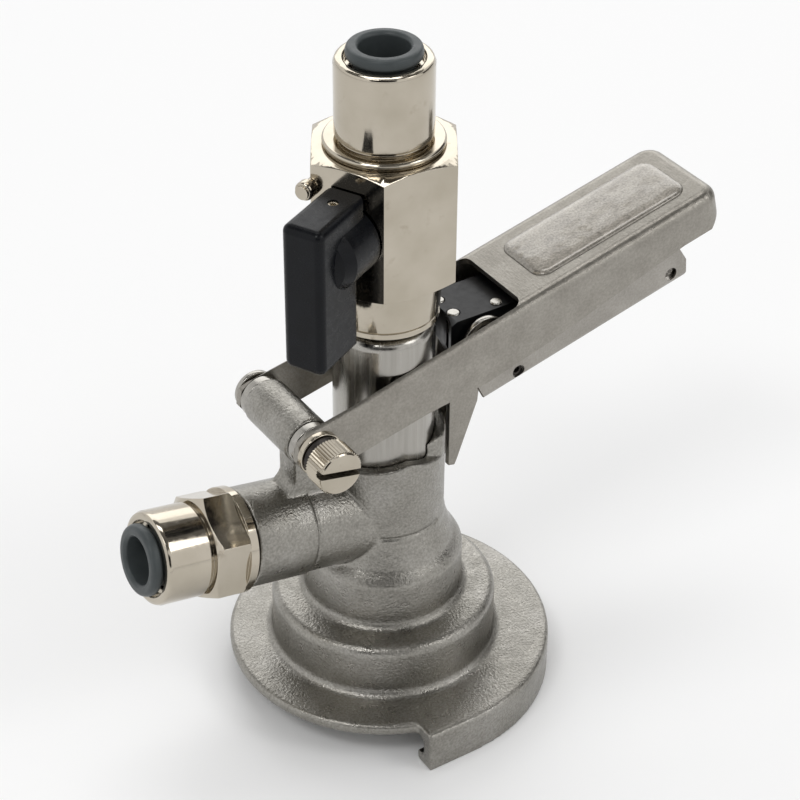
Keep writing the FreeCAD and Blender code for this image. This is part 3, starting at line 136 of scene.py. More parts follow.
def addSpecks(tree, base, source, specks, share):
    # Fine darker and lighter flecks over a base colour
    mixed = addNode(tree, "Mix", {"data_type": "RGBA", "blend_type": "SOFT_LIGHT", 0: share},
                    {6: base, 7: addTones(tree, source, *specks)})
    return mixed.outputs[2]


def addSpread(tree, source, low, high, span=noiseSpan):
    # Carries the span of a noise over to a low and a high value
    spread = addNode(tree, "MapRange", {"From Min": span[0], "From Max": span[1],
                                        "To Min": low, "To Max": high}, {"Value": source})
    return spread.outputs["Result"]


def addBump(tree, shader, heights, depth):
    # heights: (output, share) pairs that are added up; depth in millimetres
    total = None
    for height, share in heights:
        part = addNode(tree, "Math", {"operation": "MULTIPLY", 1: share}, {0: height})
        if total is None:
            total = part.outputs[0]
        else:
            added = addNode(tree, "Math", {"operation": "ADD"}, {0: total, 1: part.outputs[0]})
            total = added.outputs[0]
    bump = addNode(tree, "Bump", {"Strength": 1.0, "Distance": depth * mm}, {"Height": total})
    tree.links.new(bump.outputs["Normal"], shader.inputs["Normal"])


def setSurface(tree, shader, links, values):
    # links: outputs that vary over the surface; values: what is the same all over
    for name, source in links.items():
        tree.links.new(source, shader.inputs[name])
    for name, value in values.items():
        shader.inputs[name].default_value = value


# Finishes: sizes and depths in millimetres, shares for what each texture adds to the bump

castSteel = {
    "tones": ((0.32, "#94928d"), (0.5, "#9b9994"), (0.68, "#a3a19d")),
    "specks": ("#7f7d79", "#c6c4c0"), "speckShare": 0.7, "roughness": (0.25, 0.39),
    "cloud": 11, "swell": 3.6, "grain": 0.65, "pit": 0.45, "speck": 0.55,
    "grainShare": 1.0, "pitShare": 0.3, "swellShare": 0.7, "depth": 0.13,
}


def castStainless():
    # Investment-cast stainless steel, tumbled: neutral satin grey with a fine sandy grain
    material, tree, shader = startMaterial("castStainless")
    place = addNode(tree, "TexCoord").outputs["Object"]
    cloud = addNoise(tree, place, castSteel["cloud"])
    swell = addNoise(tree, place, castSteel["swell"], 2.0)
    grain = addNoise(tree, place, castSteel["grain"], 3.0, 0.6)
    sand = addNoise(tree, place, castSteel["speck"], 2.0)
    pits = addNode(tree, "TexVoronoi", {"Scale": perSize(castSteel["pit"])}, {"Vector": place})
    tone = addRamp(tree, cloud, castSteel["tones"])
    sanded = addSpecks(tree, tone, sand, castSteel["specks"], castSteel["speckShare"])
    rough = addSpread(tree, swell, *castSteel["roughness"])
    setSurface(tree, shader, {"Base Color": sanded, "Roughness": rough}, {"Metallic": 1.0})
    addBump(tree, shader, [(grain, castSteel["grainShare"]),
                           (pits.outputs["Distance"], castSteel["pitShare"]),
                           (swell, castSteel["swellShare"])], castSteel["depth"])
    return material


sheetSteel = {
    "gripTones": ("#94918b", "#a29f99"), "triggerTones": ("#9d9a95", "#aba8a3"),
    "specks": ("#8c8984", "#bbb8b3"), "speckShare": 0.6, "roughness": (0.30, 0.43),
    "scratch": 0.42, "stretch": 5.0, "cloud": 7, "fleck": 0.55,
    "scratchShare": 1.2, "fleckShare": 0.7, "cloudShare": 0.25, "depth": 0.05,
}


def foldedStainless(name, dark, light):
    # Folded stainless sheet, barrel-finished: an even satin with short marks across the part
    material, tree, shader = startMaterial(name)
    place = addNode(tree, "TexCoord").outputs["Object"]
    squeezed = addNode(tree, "Mapping", {"Scale": (1, 1 / sheetSteel["stretch"], 1)},
                       {"Vector": place}).outputs["Vector"]
    scratch = addNoise(tree, squeezed, sheetSteel["scratch"])
    fleck = addNoise(tree, place, sheetSteel["fleck"])
    cloud = addNoise(tree, place, sheetSteel["cloud"], 4.0)
    tone = addTones(tree, cloud, dark, light)
    grained = addSpecks(tree, tone, fleck, sheetSteel["specks"], sheetSteel["speckShare"])
    rough = addSpread(tree, scratch, *sheetSteel["roughness"])
    setSurface(tree, shader, {"Base Color": grained, "Roughness": rough}, {"Metallic": 1.0})
    addBump(tree, shader, [(scratch, sheetSteel["scratchShare"]),
                           (fleck, sheetSteel["fleckShare"]),
                           (cloud, sheetSteel["cloudShare"])], sheetSteel["depth"])
    return material


turnedSteel = {
    "tones": ("#9d9a94", "#aba8a2"), "roughness": (0.18, 0.28), "ring": 0.35, "streak": 0.9,
    "lay": 0.04, "ringShare": 1.0, "streakShare": 0.25, "depth": 0.003,
}


def turnedStainless(name):
    # Lathe-turned stainless steel: fine rings round the axis and faint lengthwise streaks
    material, tree, shader = startMaterial(name)
    place = addNode(tree, "TexCoord").outputs["Object"]
    rings = addToolMarks(tree, place, turnedSteel["ring"], 1.5, 2.0, 0.4)
    squeezed = addNode(tree, "Mapping", {"Scale": (1, 1, turnedSteel["lay"])},
                       {"Vector": place}).outputs["Vector"]
    streak = addNoise(tree, squeezed, turnedSteel["streak"], 2.0)
    tone = addTones(tree, streak, *turnedSteel["tones"])
    rough = addSpread(tree, streak, *turnedSteel["roughness"])
    setSurface(tree, shader, {"Base Color": tone, "Roughness": rough}, {"Metallic": 1.0})
    addBump(tree, shader, [(rings, turnedSteel["ringShare"]),
                           (streak, turnedSteel["streakShare"])], turnedSteel["depth"])
    return material


nickel = {
    "tones": ("#b0a899", "#bcb4a6"), "tarnish": "#978c7b", "roughness": (0.08, 0.17),
    "worn": ((0.60, "#000000"), (0.78, "#c0c0c0")), "ripple": 9.0, "haze": 1.1, "spot": 3.2,
    "tool": 0.5, "rippleShare": 1.0, "toolShare": 0.12, "depth": 0.0022,
}


def nickelPlate():
    # Nickel plating on turned brass: a warm grey mirror with faint tool marks and haze
    material, tree, shader = startMaterial("nickelPlate")
    place = addNode(tree, "TexCoord").outputs["Object"]
    cloud = addNoise(tree, place, nickel["ripple"])
    haze = addNoise(tree, place, nickel["haze"], 4.0)
    spots = addNoise(tree, place, nickel["spot"], 5.0, 0.7)
    marks = addToolMarks(tree, place, nickel["tool"], 0.8, 1.0)
    tone = addTones(tree, cloud, *nickel["tones"])
    worn = addRamp(tree, spots, nickel["worn"])
    stained = addNode(tree, "Mix", {"data_type": "RGBA", 7: linear(nickel["tarnish"])},
                      {0: worn, 6: tone}).outputs[2]
    rough = addSpread(tree, haze, *nickel["roughness"], wornSpan)
    setSurface(tree, shader, {"Base Color": stained, "Roughness": rough}, {"Metallic": 1.0})
    addBump(tree, shader, [(cloud, nickel["rippleShare"]), (marks, nickel["toolShare"])],
            nickel["depth"])
    return material


plastic = {"cloud": 5, "rub": 1.6, "cloudShare": 1.5}


def plainPlastic(name, light, dark, roughness, grain, depth, ior=1.5, gloss=0.5):
    # Moulded plastic or rubber: even colour, faint mottling, rubbed patches, fine grain
    material, tree, shader = startMaterial(name)
    place = addNode(tree, "TexCoord").outputs["Object"]
    cloud = addNoise(tree, place, plastic["cloud"])
    rub = addNoise(tree, place, plastic["rub"], 5.0, 0.65)
    fine = addNoise(tree, place, grain, 2.0)
    tone = addTones(tree, cloud, dark, light)
    rough = addSpread(tree, rub, *roughness, wornSpan)
    setSurface(tree, shader, {"Base Color": tone, "Roughness": rough},
               {"IOR": ior, "Specular IOR Level": gloss})
    addBump(tree, shader, [(fine, 1.0), (cloud, plastic["cloudShare"])], depth)
    return material


darkSteel = {"tones": ("#2e2b29", "#4a4643"), "roughness": (0.3, 0.45), "cloud": 2,
             "grain": 0.4, "depth": 0.006}


def springSteel():
    # Blackened steel: dark, slightly brown, half gloss, worn lighter in places
    material, tree, shader = startMaterial("blackenedSteel")
    place = addNode(tree, "TexCoord").outputs["Object"]
    cloud = addNoise(tree, place, darkSteel["cloud"])
    fine = addNoise(tree, place, darkSteel["grain"], 2.0)
    tone = addTones(tree, cloud, *darkSteel["tones"])
    rough = addSpread(tree, cloud, *darkSteel["roughness"])
    setSurface(tree, shader, {"Base Color": tone, "Roughness": rough}, {"Metallic": 0.9})
    addBump(tree, shader, [(fine, 1.0)], darkSteel["depth"])
    return material


resin = {
    "tones": ("#8d8983", "#a19d96"), "toneSpan": (0.32, 0.68), "specks": ("#6b6862", "#d0cdc6"),
    "speckShare": 0.7, "roughness": (0.3, 0.45), "cloud": 4, "fleck": 0.5, "foilDepth": 0.06,
    "swell": 5.0, "swellDepth": 0.16,
}


def clearResin():
    # Cast polyurethane dome over satin foil: grainy silver under a glossy, uneven clear skin
    material, tree, shader = startMaterial("clearResinOverSteel")
    place = addNode(tree, "TexCoord").outputs["Object"]
    cloud = addNoise(tree, place, resin["cloud"], 4.0, 0.65)
    fleck = addNoise(tree, place, resin["fleck"])
    swell = addNoise(tree, place, resin["swell"], 1.0)
    tone = addTones(tree, cloud, *resin["tones"], resin["toneSpan"])
    grained = addSpecks(tree, tone, fleck, resin["specks"], resin["speckShare"])
    rough = addSpread(tree, fleck, *resin["roughness"])
    skin = addNode(tree, "Bump", {"Strength": 1.0, "Distance": resin["swellDepth"] * mm},
                   {"Height": swell}).outputs["Normal"]
    setSurface(tree, shader, {"Base Color": grained, "Roughness": rough, "Coat Normal": skin},
               {"Metallic": 0.8, "Coat Weight": 1.0, "Coat Roughness": 0.03})
    addBump(tree, shader, [(fleck, 1.0), (cloud, 1.0)], resin["foilDepth"])
    return material


finishes = {
    "cast_steel": castStainless(),
    "sheet_steel": foldedStainless("foldedStainless", *sheetSteel["gripTones"]),
    "turned_steel": turnedStainless("turnedStainless"),
    "plated_brass": nickelPlate(),
    "dark_steel": springSteel(),
    "ball_steel": turnedStainless("polishedBallSteel"),
    # name, light, dark, roughness, grain, depth of the grain, ior, gloss
    "rubber": plainPlastic("nitrileRubber", "#242425", "#19191a", (0.5, 0.62), 0.3, 0.01),
    "collet_plastic": plainPlastic("acetalGrey", "#464b4c", "#3c4142", (0.34, 0.46), 0.3, 0.006,
                                   1.5, 0.3),
    "knob_plastic": plainPlastic("nylonBlack", "#0f1115", "#0a0b0e", (0.24, 0.36), 0.4, 0.006,
                                 1.5, 0.16),
    "block_plastic": plainPlastic("acetalBlack", "#0f0f11", "#0a0a0b", (0.30, 0.42), 0.4, 0.01,
                                  1.5, 0.25),
    "seat_plastic": plainPlastic("fluoroplasticWhite", "#eceae4", "#dfddd6", (0.4, 0.5), 0.4,
                                 0.004, 1.38),
    "clear_resin": clearResin(),
}
print("finishes made:", len(finishes))


# Pieces

leverRise = 13.84      # degrees that the arms slope upwards
quarterTurn = math.radians(90)
# Frame of the lever: x along the arms from the pivot, z up from its top face
leverFrame = (Matrix.Translation(Vector(joints["lever_hinge"]["pos_m"]))
              @ Matrix.Rotation(math.radians(-leverRise), 4, "Y"))


def newPiece(name, work, node, replaced=True):
    # Turns a finished bmesh into an object that rides where its node rides
    mesh = bpy.data.meshes.new(name)
    work.to_mesh(mesh)
    work.free()
    for face in mesh.polygons:
        face.use_smooth = True
    piece = bpy.data.objects.new(name, mesh)
    bpy.context.scene.collection.objects.link(piece)
    mesh.materials.append(finishes[slotOf[node]])
    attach(piece, bodyOf[node])
    if replaced:
        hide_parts(node)
    return piece


merging = {"distance": 0.002, "flatAngle": 0.6}


def mergedCopy(node):
    # The node's loose triangles joined up, with flat stretches as single faces
    work = bmesh.new()
    work.from_mesh(nodes[node].data)
    bmesh.ops.remove_doubles(work, verts=work.verts, dist=merging["distance"] * mm)
    bmesh.ops.dissolve_limit(work, angle_limit=math.radians(merging["flatAngle"]),
                             verts=work.verts, edges=work.edges, use_dissolve_boundaries=False)
    return work


sharpAngle = 28      # degrees between two faces from which their edge is rounded


def bevelSharp(work, width, segments=2, angle=sharpAngle):
    sharp = [edge for edge in work.edges
             if len(edge.link_faces) == 2 and edge.calc_face_angle(0) > math.radians(angle)]
    bmesh.ops.bevel(work, geom=sharp, offset=width * mm, offset_type="OFFSET",
                    affect="EDGES", segments=segments, profile=0.5, material=-1,
                    clamp_overlap=True)


def newVerts(grown):
    # The corners among what an operator has just made
    return [item for item in grown["geom"] if isinstance(item, bmesh.types.BMVert)]


def drawIn(corner, share):
    # Leaves a corner this share of its distance from the z axis
    corner.co.x *= share
    corner.co.y *= share


def weightNormals(piece):
    modifier = piece.modifiers.new("evenFaces", "WEIGHTED_NORMAL")
    modifier.weight = 70
    modifier.keep_sharp = True


def applyModifiers(piece):
    graph = bpy.context.evaluated_depsgraph_get()
    mesh = bpy.data.meshes.new_from_object(piece.evaluated_get(graph))
    piece.modifiers.clear()
    piece.data = mesh


# Edge rounding of each piece: width in millimetres and number of facets
edgeWidth = {
    "lever_handle": (0.25, 3), "trigger": (0.2, 2), "latch_claw": (0.25, 2),
    "probe_tube": (0.25, 3), "pivot_sleeve": (0.1, 2), "arm_spacers": (0.3, 3),
    "drive_pins": (0.2, 2), "latch_pin": (0.2, 2), "latch_discs": (0.35, 3),
    "pivot_nut": (0.3, 3), "pivot_washer": (0.3, 3), "pivot_lock_ring": (0.35, 3),
    "gas_fitting": (0.2, 3), "valve_body": (0.2, 3), "top_fitting": (0.2, 3),
    "gas_fitting_gasket": (0.15, 2), "stem_gland": (0.15, 2), "valve_stem": (0.15, 2),
    "knob_screw": (0.2, 2), "keg_seal": (0.4, 3), "latch_block": (0.45, 3),
    "valve_knob": (0.6, 3), "ball_cage": (0.15, 2), "beer_collet": (0.55, 4),
    "gas_collet": (0.55, 4), "gas_tube_o_ring": (0.2, 2), "beer_tube_o_ring": (0.2, 2),
}


def dressNode(node):
    work = mergedCopy(node)
    bevelSharp(work, *edgeWidth[node])
    piece = newPiece(node + "_finished", work, node)
    weightNormals(piece)
    return piece


def carve(piece, cutter):
    # Takes the cutter's shape out of the piece and throws the cutter away
    holder = bpy.data.objects.new("cutter", bpy.data.meshes.new("cutter"))
    cutter.to_mesh(holder.data)
    cutter.free()
    bpy.context.scene.collection.objects.link(holder)
    taking = piece.modifiers.new("taken", "BOOLEAN")
    taking.operation = "DIFFERENCE"
    taking.solver = "EXACT"
    taking.object = holder
    applyModifiers(piece)
    bpy.data.objects.remove(holder)


housing = {
    "voxel": 0.36, "smoothing": 3, "keep": 0.36,
    "lineWide": 0.55, "lineDeep": 0.42,
    # along the gas boss from the axis of the neck, and how far out the line may reach
    "gasHeight": 45.8, "gasTilt": 9.7, "bossLine": 24.1, "bossRadii": (10.4, 12.0),
    # height on the neck, radii, and the degrees round the neck from one end to the other
    "neckLine": 46.3, "neckRadii": (13.2, 14.6), "neckSweep": (-125, -60),
}


def shareOnLine(place, line, radii):
    # Share of its radius that a place on a pressed line keeps; None for one that is off it
    radius = math.hypot(place.x, place.y) / mm
    off = abs(place.z / mm - line)
    if off < housing["lineWide"] and radii[0] < radius < radii[1]:
        return 1 - housing["lineDeep"] * (1 - off / housing["lineWide"]) / radius
    return None


def pressLines(work):
    # Two fine lines that the mould leaves: round the gas boss, and across the front of the neck
    fromGas = (Matrix.Translation((0, 0, housing["gasHeight"] * mm))
               @ Matrix.Rotation(math.radians(housing["gasTilt"] - 90), 4, "Y")).inverted()
    toGas = fromGas.inverted()
    start, end = housing["neckSweep"]
    for corner in work.verts:
        inGas = fromGas @ corner.co
        share = shareOnLine(inGas, housing["bossLine"], housing["bossRadii"])
        if share:
            corner.co = toGas @ Vector((inGas.x * share, inGas.y * share, inGas.z))
            continue
        share = shareOnLine(corner.co, housing["neckLine"], housing["neckRadii"])
        if share and start < math.degrees(math.atan2(corner.co.y, corner.co.x)) < end:
            drawIn(corner, share)


def castHousing():
    # Even cells over the whole casting, smoothed so that every edge and corner is soft
    work = mergedCopy("base_housing")
    bmesh.ops.triangulate(work, faces=work.faces)
    piece = newPiece("base_housing_cast", work, "base_housing")
    remesh = piece.modifiers.new("evenCells", "REMESH")
    remesh.mode = "VOXEL"
    remesh.voxel_size = housing["voxel"] * mm
    graph = bpy.context.evaluated_depsgraph_get()
    work = bmesh.new()
    work.from_mesh(piece.evaluated_get(graph).to_mesh())
    piece.modifiers.clear()
    for turn in range(housing["smoothing"]):
        bmesh.ops.smooth_vert(work, verts=work.verts, factor=0.5, use_axis_x=True,
                              use_axis_y=True, use_axis_z=True)
    pressLines(work)
    work.to_mesh(piece.data)
    work.free()
    thin = piece.modifiers.new("thinned", "DECIMATE")
    thin.ratio = housing["keep"]
    applyModifiers(piece)
    for face in piece.data.polygons:
        face.use_smooth = True
    for corner in piece.data.vertices:      # remeshing rounds in the seventh decimal
        corner.co = [min(max(value, least), most)
                     for value, least, most in zip(corner.co, *cadBox)]
    print("housing triangles:", sum(len(face.vertices) - 2 for face in piece.data.polygons))


screw = {
    "shank": 3.0, "tail": -14.8, "headFoot": 16.8, "head": 5.3, "length": 5.8,
    "ridges": 46, "groove": 0.3, "plainEnd": 0.7, "runOut": 4.98, "runOutLength": 0.12,
    "chamfer": 0.25, "chamferShare": 0.95, "slotWidth": 1.5, "slotDepth": 1.8,
    # The slot's painted shade: its dark and light colours, the size and bump depth of its mottle, and how far out
    # it reaches as a share of the run-out radius
    "slotTurn": -26, "slotShade": ((0.3, "#3a362f"), (0.75, "#7d7566")), "slotShadeSize": 0.8,
    "slotShadeBumpDepth": 0.02, "slotShadeReach": 0.9,
}


def slotShadeNickel():
    # Nickel plating in the narrow slot, dulled, with painted shade: a dark mottled colour that stands in for the
    # shade inside the slot
    material, tree, shader = startMaterial("slotShadeNickel")
    place = addNode(tree, "TexCoord").outputs["Object"]
    slotShadeMottle = addNoise(tree, place, screw["slotShadeSize"])
    tone = addRamp(tree, slotShadeMottle, screw["slotShade"])
    setSurface(tree, shader, {"Base Color": tone}, {"Metallic": 0.8, "Roughness": 0.5})
    addBump(tree, shader, [(slotShadeMottle, 1.0)], screw["slotShadeBumpDepth"])
    return material


def knurledScrew():
    # Pivot screw: plain shank, straight-knurled head and a screwdriver slot across its face
    acrossLever = leverFrame @ Matrix.Rotation(quarterTurn, 4, "X")
    turned = acrossLever @ Matrix.Rotation(math.radians(screw["slotTurn"]), 4, "Z")
    face = (screw["headFoot"] + screw["length"]) * mm
    work = bmesh.new()
    bmesh.ops.create_circle(work, cap_ends=True, segments=2 * screw["ridges"],
                            radius=screw["head"] * mm,
                            matrix=Matrix.Translation((0, 0, screw["headFoot"] * mm)))
    for corner in list(work.verts)[::2]:
        drawIn(corner, 1 - screw["groove"] / screw["head"])
    plain = screw["plainEnd"] - screw["runOutLength"] - screw["chamfer"]
    for step, share in ((screw["length"] - screw["plainEnd"], 1.0),
                        (screw["runOutLength"], None), (plain, 1.0),
                        (screw["chamfer"], screw["chamferShare"])):
        top = max(work.faces, key=lambda item: item.calc_center_median().z)
        raised = newVerts(bmesh.ops.extrude_face_region(work, geom=[top]))
        bmesh.ops.delete(work, geom=[top], context="FACES_ONLY")
        for corner in raised:       # without a share the knurl runs out into a plain round end
            radius = math.hypot(corner.co.x, corner.co.y)
            drawIn(corner, share or screw["runOut"] * mm / radius)
            corner.co.z += step * mm
    foot, end = screw["tail"], screw["headFoot"] + 1      # the shank reaches into the head
    bmesh.ops.create_cone(work, cap_ends=True, segments=64, radius1=screw["shank"] * mm,
                          radius2=screw["shank"] * mm, depth=(end - foot) * mm,
                          matrix=Matrix.Translation((0, 0, (end + foot) / 2 * mm)))
    bmesh.ops.recalc_face_normals(work, faces=work.faces)
    work.transform(acrossLever)
    piece = newPiece("pivot_screw_knurled", work, "pivot_screw")
    cutter = bmesh.new()
    bmesh.ops.create_cube(cutter, size=1)
    cutter.transform(turned @ Matrix.Translation((0, 0, face)) @ Matrix.Diagonal(
        (4 * screw["head"] * mm, screw["slotWidth"] * mm, 2 * screw["slotDepth"] * mm, 1)))
    carve(piece, cutter)
    piece.data.materials.append(slotShadeNickel())
    toSlot = turned.inverted()
    slack, rim = 0.001 * mm, 0.02 * mm
    half, deepest = screw["slotWidth"] / 2 * mm, face - screw["slotDepth"] * mm
    reach = screw["slotShadeReach"] * screw["runOut"] * mm
    # Faces inside the slot, short of its ends, take the second material, the painted shade of the slot
    for polygon in piece.data.polygons:
        polygon.use_smooth = False
        x, y, z = toSlot @ polygon.center
        inSlot = deepest - slack < z < face - rim and abs(y) < half + slack
        if inSlot and math.hypot(x, y) < reach:
            polygon.material_index = 1


badge = {
    "start": 63.5, "end": 105.5, "half": 8.0, "corner": 3.3, "cornerFacets": 10,
    "floor": 4.2, "edge": 0.72,
    # inset and rise of each ring of the dome
    "rings": ((0.25, 0.22), (0.35, 0.18), (0.55, 0.14), (0.8, 0.09), (1.1, 0.04)),
}


def domedBadge():
    # The clear dome swells over the plate: steep at its edge, nearly flat in the middle
    work = bmesh.new()
    bmesh.ops.create_grid(work, x_segments=1, y_segments=1, size=0.5)
    work.transform(Matrix.Diagonal(((badge["end"] - badge["start"]) * mm,
                                    2 * badge["half"] * mm, 1, 1)))
    bmesh.ops.bevel(work, geom=work.verts[:], offset=badge["corner"] * mm,
                    offset_type="OFFSET", affect="VERTICES", segments=badge["cornerFacets"],
                    profile=0.5, material=-1)
    raised = newVerts(bmesh.ops.extrude_face_region(work, geom=work.faces[:]))
    bmesh.ops.translate(work, verts=raised, vec=(0, 0, badge["edge"] * mm))
    for width, rise in badge["rings"]:
        top = max(work.faces, key=lambda item: item.calc_center_median().z)
        bmesh.ops.inset_individual(work, faces=[top], thickness=width * mm, depth=rise * mm,
                                   use_even_offset=True)
    bmesh.ops.recalc_face_normals(work, faces=work.faces)
    centre = (badge["start"] + badge["end"]) / 2
    work.transform(leverFrame @ Matrix.Translation((centre * mm, 0, badge["floor"] * mm)))
    newPiece("handle_badge_domed", work, "handle_badge")


stemTurn = 207.4      # degrees round z to the axis of the valve's stem
upright = Matrix.Identity(4)
alongStem = (Matrix.Rotation(math.radians(stemTurn), 4, "Z")
             @ Matrix.Rotation(quarterTurn, 4, "Y"))
pins = {
    # name: place of the middle, turn, radius, length, node whose body and finish it shares
    "stopPinNear": ((16.15, -3.0, 91.6), upright, 1.5, 5.6, "latch_pin"),
    "stopPinFar": ((16.15, 3.0, 91.6), upright, 1.5, 5.6, "latch_pin"),
    "stopPinBack": ((26.4, -4.6, 92.0), upright, 1.4, 5.2, "latch_pin"),
    "stopSleeve": ((-18.5, 0.55, 134.21), alongStem, 2.1, 2.6, "valve_body"),
}
pinRounding = 0.3      # share of the radius


def smallPins():
    # Pins with rounded ends: three set in the block, and the sleeve on the stop of the valve
    for name, (place, turn, radius, length, like) in pins.items():
        work = bmesh.new()
        bmesh.ops.create_cone(work, cap_ends=True, segments=40, radius1=radius * mm,
                              radius2=radius * mm, depth=length * mm)
        bevelSharp(work, pinRounding * radius, 3)
        work.transform(Matrix.Translation(Vector(place) * mm) @ turn)
        weightNormals(newPiece(name, work, like, replaced=False))


crossPin = {"at": (51.9, -13.3), "radius": 1.45, "hollow": 0.75, "inner": 7.4, "outer": 10.2,
            "rounding": 0.15, "rimAngle": 60}


def crossPins():
    # Rolled spring pins in the front of the trigger, one in each wall, clear of the claw
    inner, outer = crossPin["inner"], crossPin["outer"]
    work = bmesh.new()
    for radius in (crossPin["radius"], crossPin["hollow"]):
        bmesh.ops.create_circle(work, cap_ends=False, segments=40, radius=radius * mm,
                                matrix=Matrix.Translation((0, 0, inner * mm)))
    bmesh.ops.bridge_loops(work, edges=work.edges[:])
    raised = newVerts(bmesh.ops.extrude_face_region(work, geom=work.faces[:]))
    bmesh.ops.translate(work, verts=raised, vec=(0, 0, (outer - inner) * mm))
    bmesh.ops.recalc_face_normals(work, faces=work.faces)
    bevelSharp(work, crossPin["rounding"], 2, crossPin["rimAngle"])
    twin = bmesh.ops.duplicate(work, geom=work.verts[:] + work.edges[:] + work.faces[:])
    bmesh.ops.translate(work, verts=newVerts(twin), vec=(0, 0, -(inner + outer) * mm))
    x, z = crossPin["at"]
    work.transform(leverFrame @ Matrix.Translation((x * mm, 0, z * mm))
                   @ Matrix.Rotation(quarterTurn, 4, "X"))
    piece = newPiece("trigger_cross_pins", work, "trigger", replaced=False)
    piece.data.materials[0] = finishes["dark_steel"]
    weightNormals(piece)


castHousing()
dressed = {node: dressNode(node) for node in edgeWidth}
dressed["trigger"].data.materials[0] = foldedStainless("foldedStainlessPale",
                                                       *sheetSteel["triggerTones"])
knurledScrew()
domedBadge()
smallPins()
crossPins()
for node, thing in nodes.items():
    if not thing.hide_render:
        thing.data.materials.clear()
        thing.data.materials.append(finishes[slotOf[node]])
print("pieces dressed")


# Floor, light and camera, in metres

studio = {
    "aim": (0, 0, 0.08), "floor": "#f4f4f4", "floorSize": 6.0, "floorDrop": 0.00005,
    "fade": (0.35, 1.6), "world": 0.62,
    "lamps": [
        # name, place, size, power in watts
        ("keyLamp", (-0.75, -0.35, 1.25), (0.55, 0.3), 3.8),
        ("fillLamp", (0.74, -0.96, 1.18), (0.5, 0.5), 2.9),
        ("topLamp", (0.15, 0.35, 1.5), (0.8, 0.35), 3.4),
        ("backLamp", (0.95, 1.45, 1.25), (2.0, 1.3), 10.6),
    ],
    "flags": [
        # name, place, size, grey: dark cards that only reflections see
        ("ceilingFlag", (0.0, 0.0, 1.7), (3.0, 3.0), "#6e6d6b"),
        ("cameraFlag", (-1.1, -1.6, 0.9), (2.2, 1.1), "#2e2d2c"),
        ("sideFlag", (1.9, -0.3, 0.7), (1.6, 1.1), "#5a5856"),
    ],
}


def cameraWhite(tree):
    # 1 for the camera, in reflections and through glass, 0 for plain light
    path = addNode(tree, "LightPath")
    seen = addNode(tree, "Math", {"operation": "MAXIMUM"},
                   {0: path.outputs["Is Camera Ray"], 1: path.outputs["Is Glossy Ray"]})
    return addNode(tree, "Math", {"operation": "MAXIMUM"},
                   {0: seen.outputs[0], 1: path.outputs["Is Transmission Ray"]}).outputs[0]


def makeWorld():
    world = bpy.data.worlds.new("studioWorld")
    bpy.context.scene.world = world
    world.use_nodes = True
    tree = world.node_tree
    plain = tree.nodes["Background"]
    setSurface(tree, plain, {}, {"Color": white, "Strength": studio["world"]})
    bright = addNode(tree, "Background", {"Color": white, "Strength": 1.0})
    mix = addNode(tree, "MixShader", links={0: cameraWhite(tree), 1: plain.outputs[0],
                                            2: bright.outputs[0]})
    tree.links.new(mix.outputs[0], tree.nodes["World Output"].inputs["Surface"])


def flatSheet(name, size):
    work = bmesh.new()
    bmesh.ops.create_grid(work, x_segments=1, y_segments=1, size=0.5)
    work.transform(Matrix.Diagonal((size[0], size[1], 1, 1)))
    mesh = bpy.data.meshes.new(name)
    work.to_mesh(mesh)
    work.free()
    sheet = bpy.data.objects.new(name, mesh)
    bpy.context.scene.collection.objects.link(sheet)
    return sheet


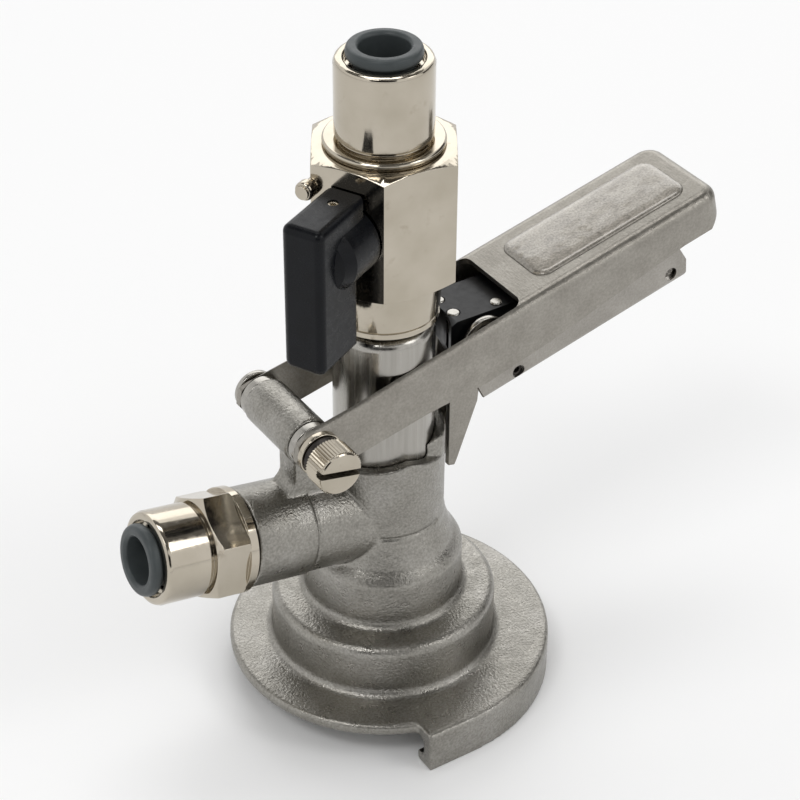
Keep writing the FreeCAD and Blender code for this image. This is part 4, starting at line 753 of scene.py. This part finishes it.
def makeFloor():
    # Pale paper that keeps the shadow near the part and fades to the white background far off
    floor = flatSheet("floor", (studio["floorSize"], studio["floorSize"]))
    floor.location.z = -studio["floorDrop"]
    material, tree, shader = startMaterial("paperFloor")
    setSurface(tree, shader, {}, {"Base Color": linear(studio["floor"]), "Roughness": 0.9,
                                  "Specular IOR Level": 0.0})
    place = addNode(tree, "TexCoord").outputs["Object"]
    away = addNode(tree, "VectorMath", {"operation": "LENGTH"}, {0: place})
    fade = addSpread(tree, away.outputs["Value"], 0, 1, studio["fade"])
    seen = addNode(tree, "Math", {"operation": "MULTIPLY"},
                   {0: addNode(tree, "LightPath").outputs["Is Camera Ray"], 1: fade})
    bright = addNode(tree, "Emission", {"Color": white, "Strength": 1.0})
    mix = addNode(tree, "MixShader", links={0: seen.outputs[0], 1: shader.outputs["BSDF"],
                                            2: bright.outputs[0]})
    tree.links.new(mix.outputs[0], tree.nodes["Material Output"].inputs["Surface"])
    floor.data.materials.append(material)


def towards(thing, place):
    thing.location = place
    aim = Vector(studio["aim"]) - Vector(place)
    thing.rotation_euler = aim.to_track_quat("-Z", "Y").to_euler()


def makeFlags():
    # Dark cards round the camera and overhead give the bright metal its dark bands
    for name, place, size, grey in studio["flags"]:
        flag = flatSheet(name, size)
        towards(flag, place)
        material, tree, shader = startMaterial(name + "Cloth")
        setSurface(tree, shader, {}, {"Base Color": linear("#000000"), "Specular IOR Level": 0.0,
                                      "Emission Color": linear(grey), "Emission Strength": 1.0})
        flag.data.materials.append(material)
        flag.visible_camera = False
        flag.visible_diffuse = False
        flag.visible_transmission = False
        flag.visible_shadow = False


def makeLamps():
    for name, place, size, power in studio["lamps"]:
        lamp = bpy.data.lights.new(name, "AREA")
        lamp.shape = "RECTANGLE"
        lamp.size, lamp.size_y = size
        lamp.energy = power
        holder = bpy.data.objects.new(name, lamp)
        towards(holder, place)
        bpy.context.scene.collection.objects.link(holder)


view = {
    "place": (-0.2226, -0.3478, 0.3696),
    "right": (0.840, -0.543, 0.006),
    "forward": (0.445, 0.682, -0.581),
    "lens": 102.95, "sensor": 36, "nearest": 0.01, "farthest": 50,
}


def makeCamera():
    camera = bpy.data.objects.new("camera", bpy.data.cameras.new("camera"))
    bpy.context.scene.collection.objects.link(camera)
    forward = Vector(view["forward"]).normalized()
    right = Vector(view["right"])
    right = (right - forward * right.dot(forward)).normalized()
    up = right.cross(forward)
    camera.matrix_world = Matrix((
        (right.x, up.x, -forward.x, view["place"][0]),
        (right.y, up.y, -forward.y, view["place"][1]),
        (right.z, up.z, -forward.z, view["place"][2]),
        (0, 0, 0, 1)))
    camera.data.lens = view["lens"]
    camera.data.sensor_width = view["sensor"]
    camera.data.clip_start = view["nearest"]
    camera.data.clip_end = view["farthest"]
    bpy.context.scene.camera = camera


makeWorld()
makeFloor()
makeFlags()
makeLamps()
makeCamera()
bpy.context.scene.view_settings.view_transform = "Standard"
print("studio set up")
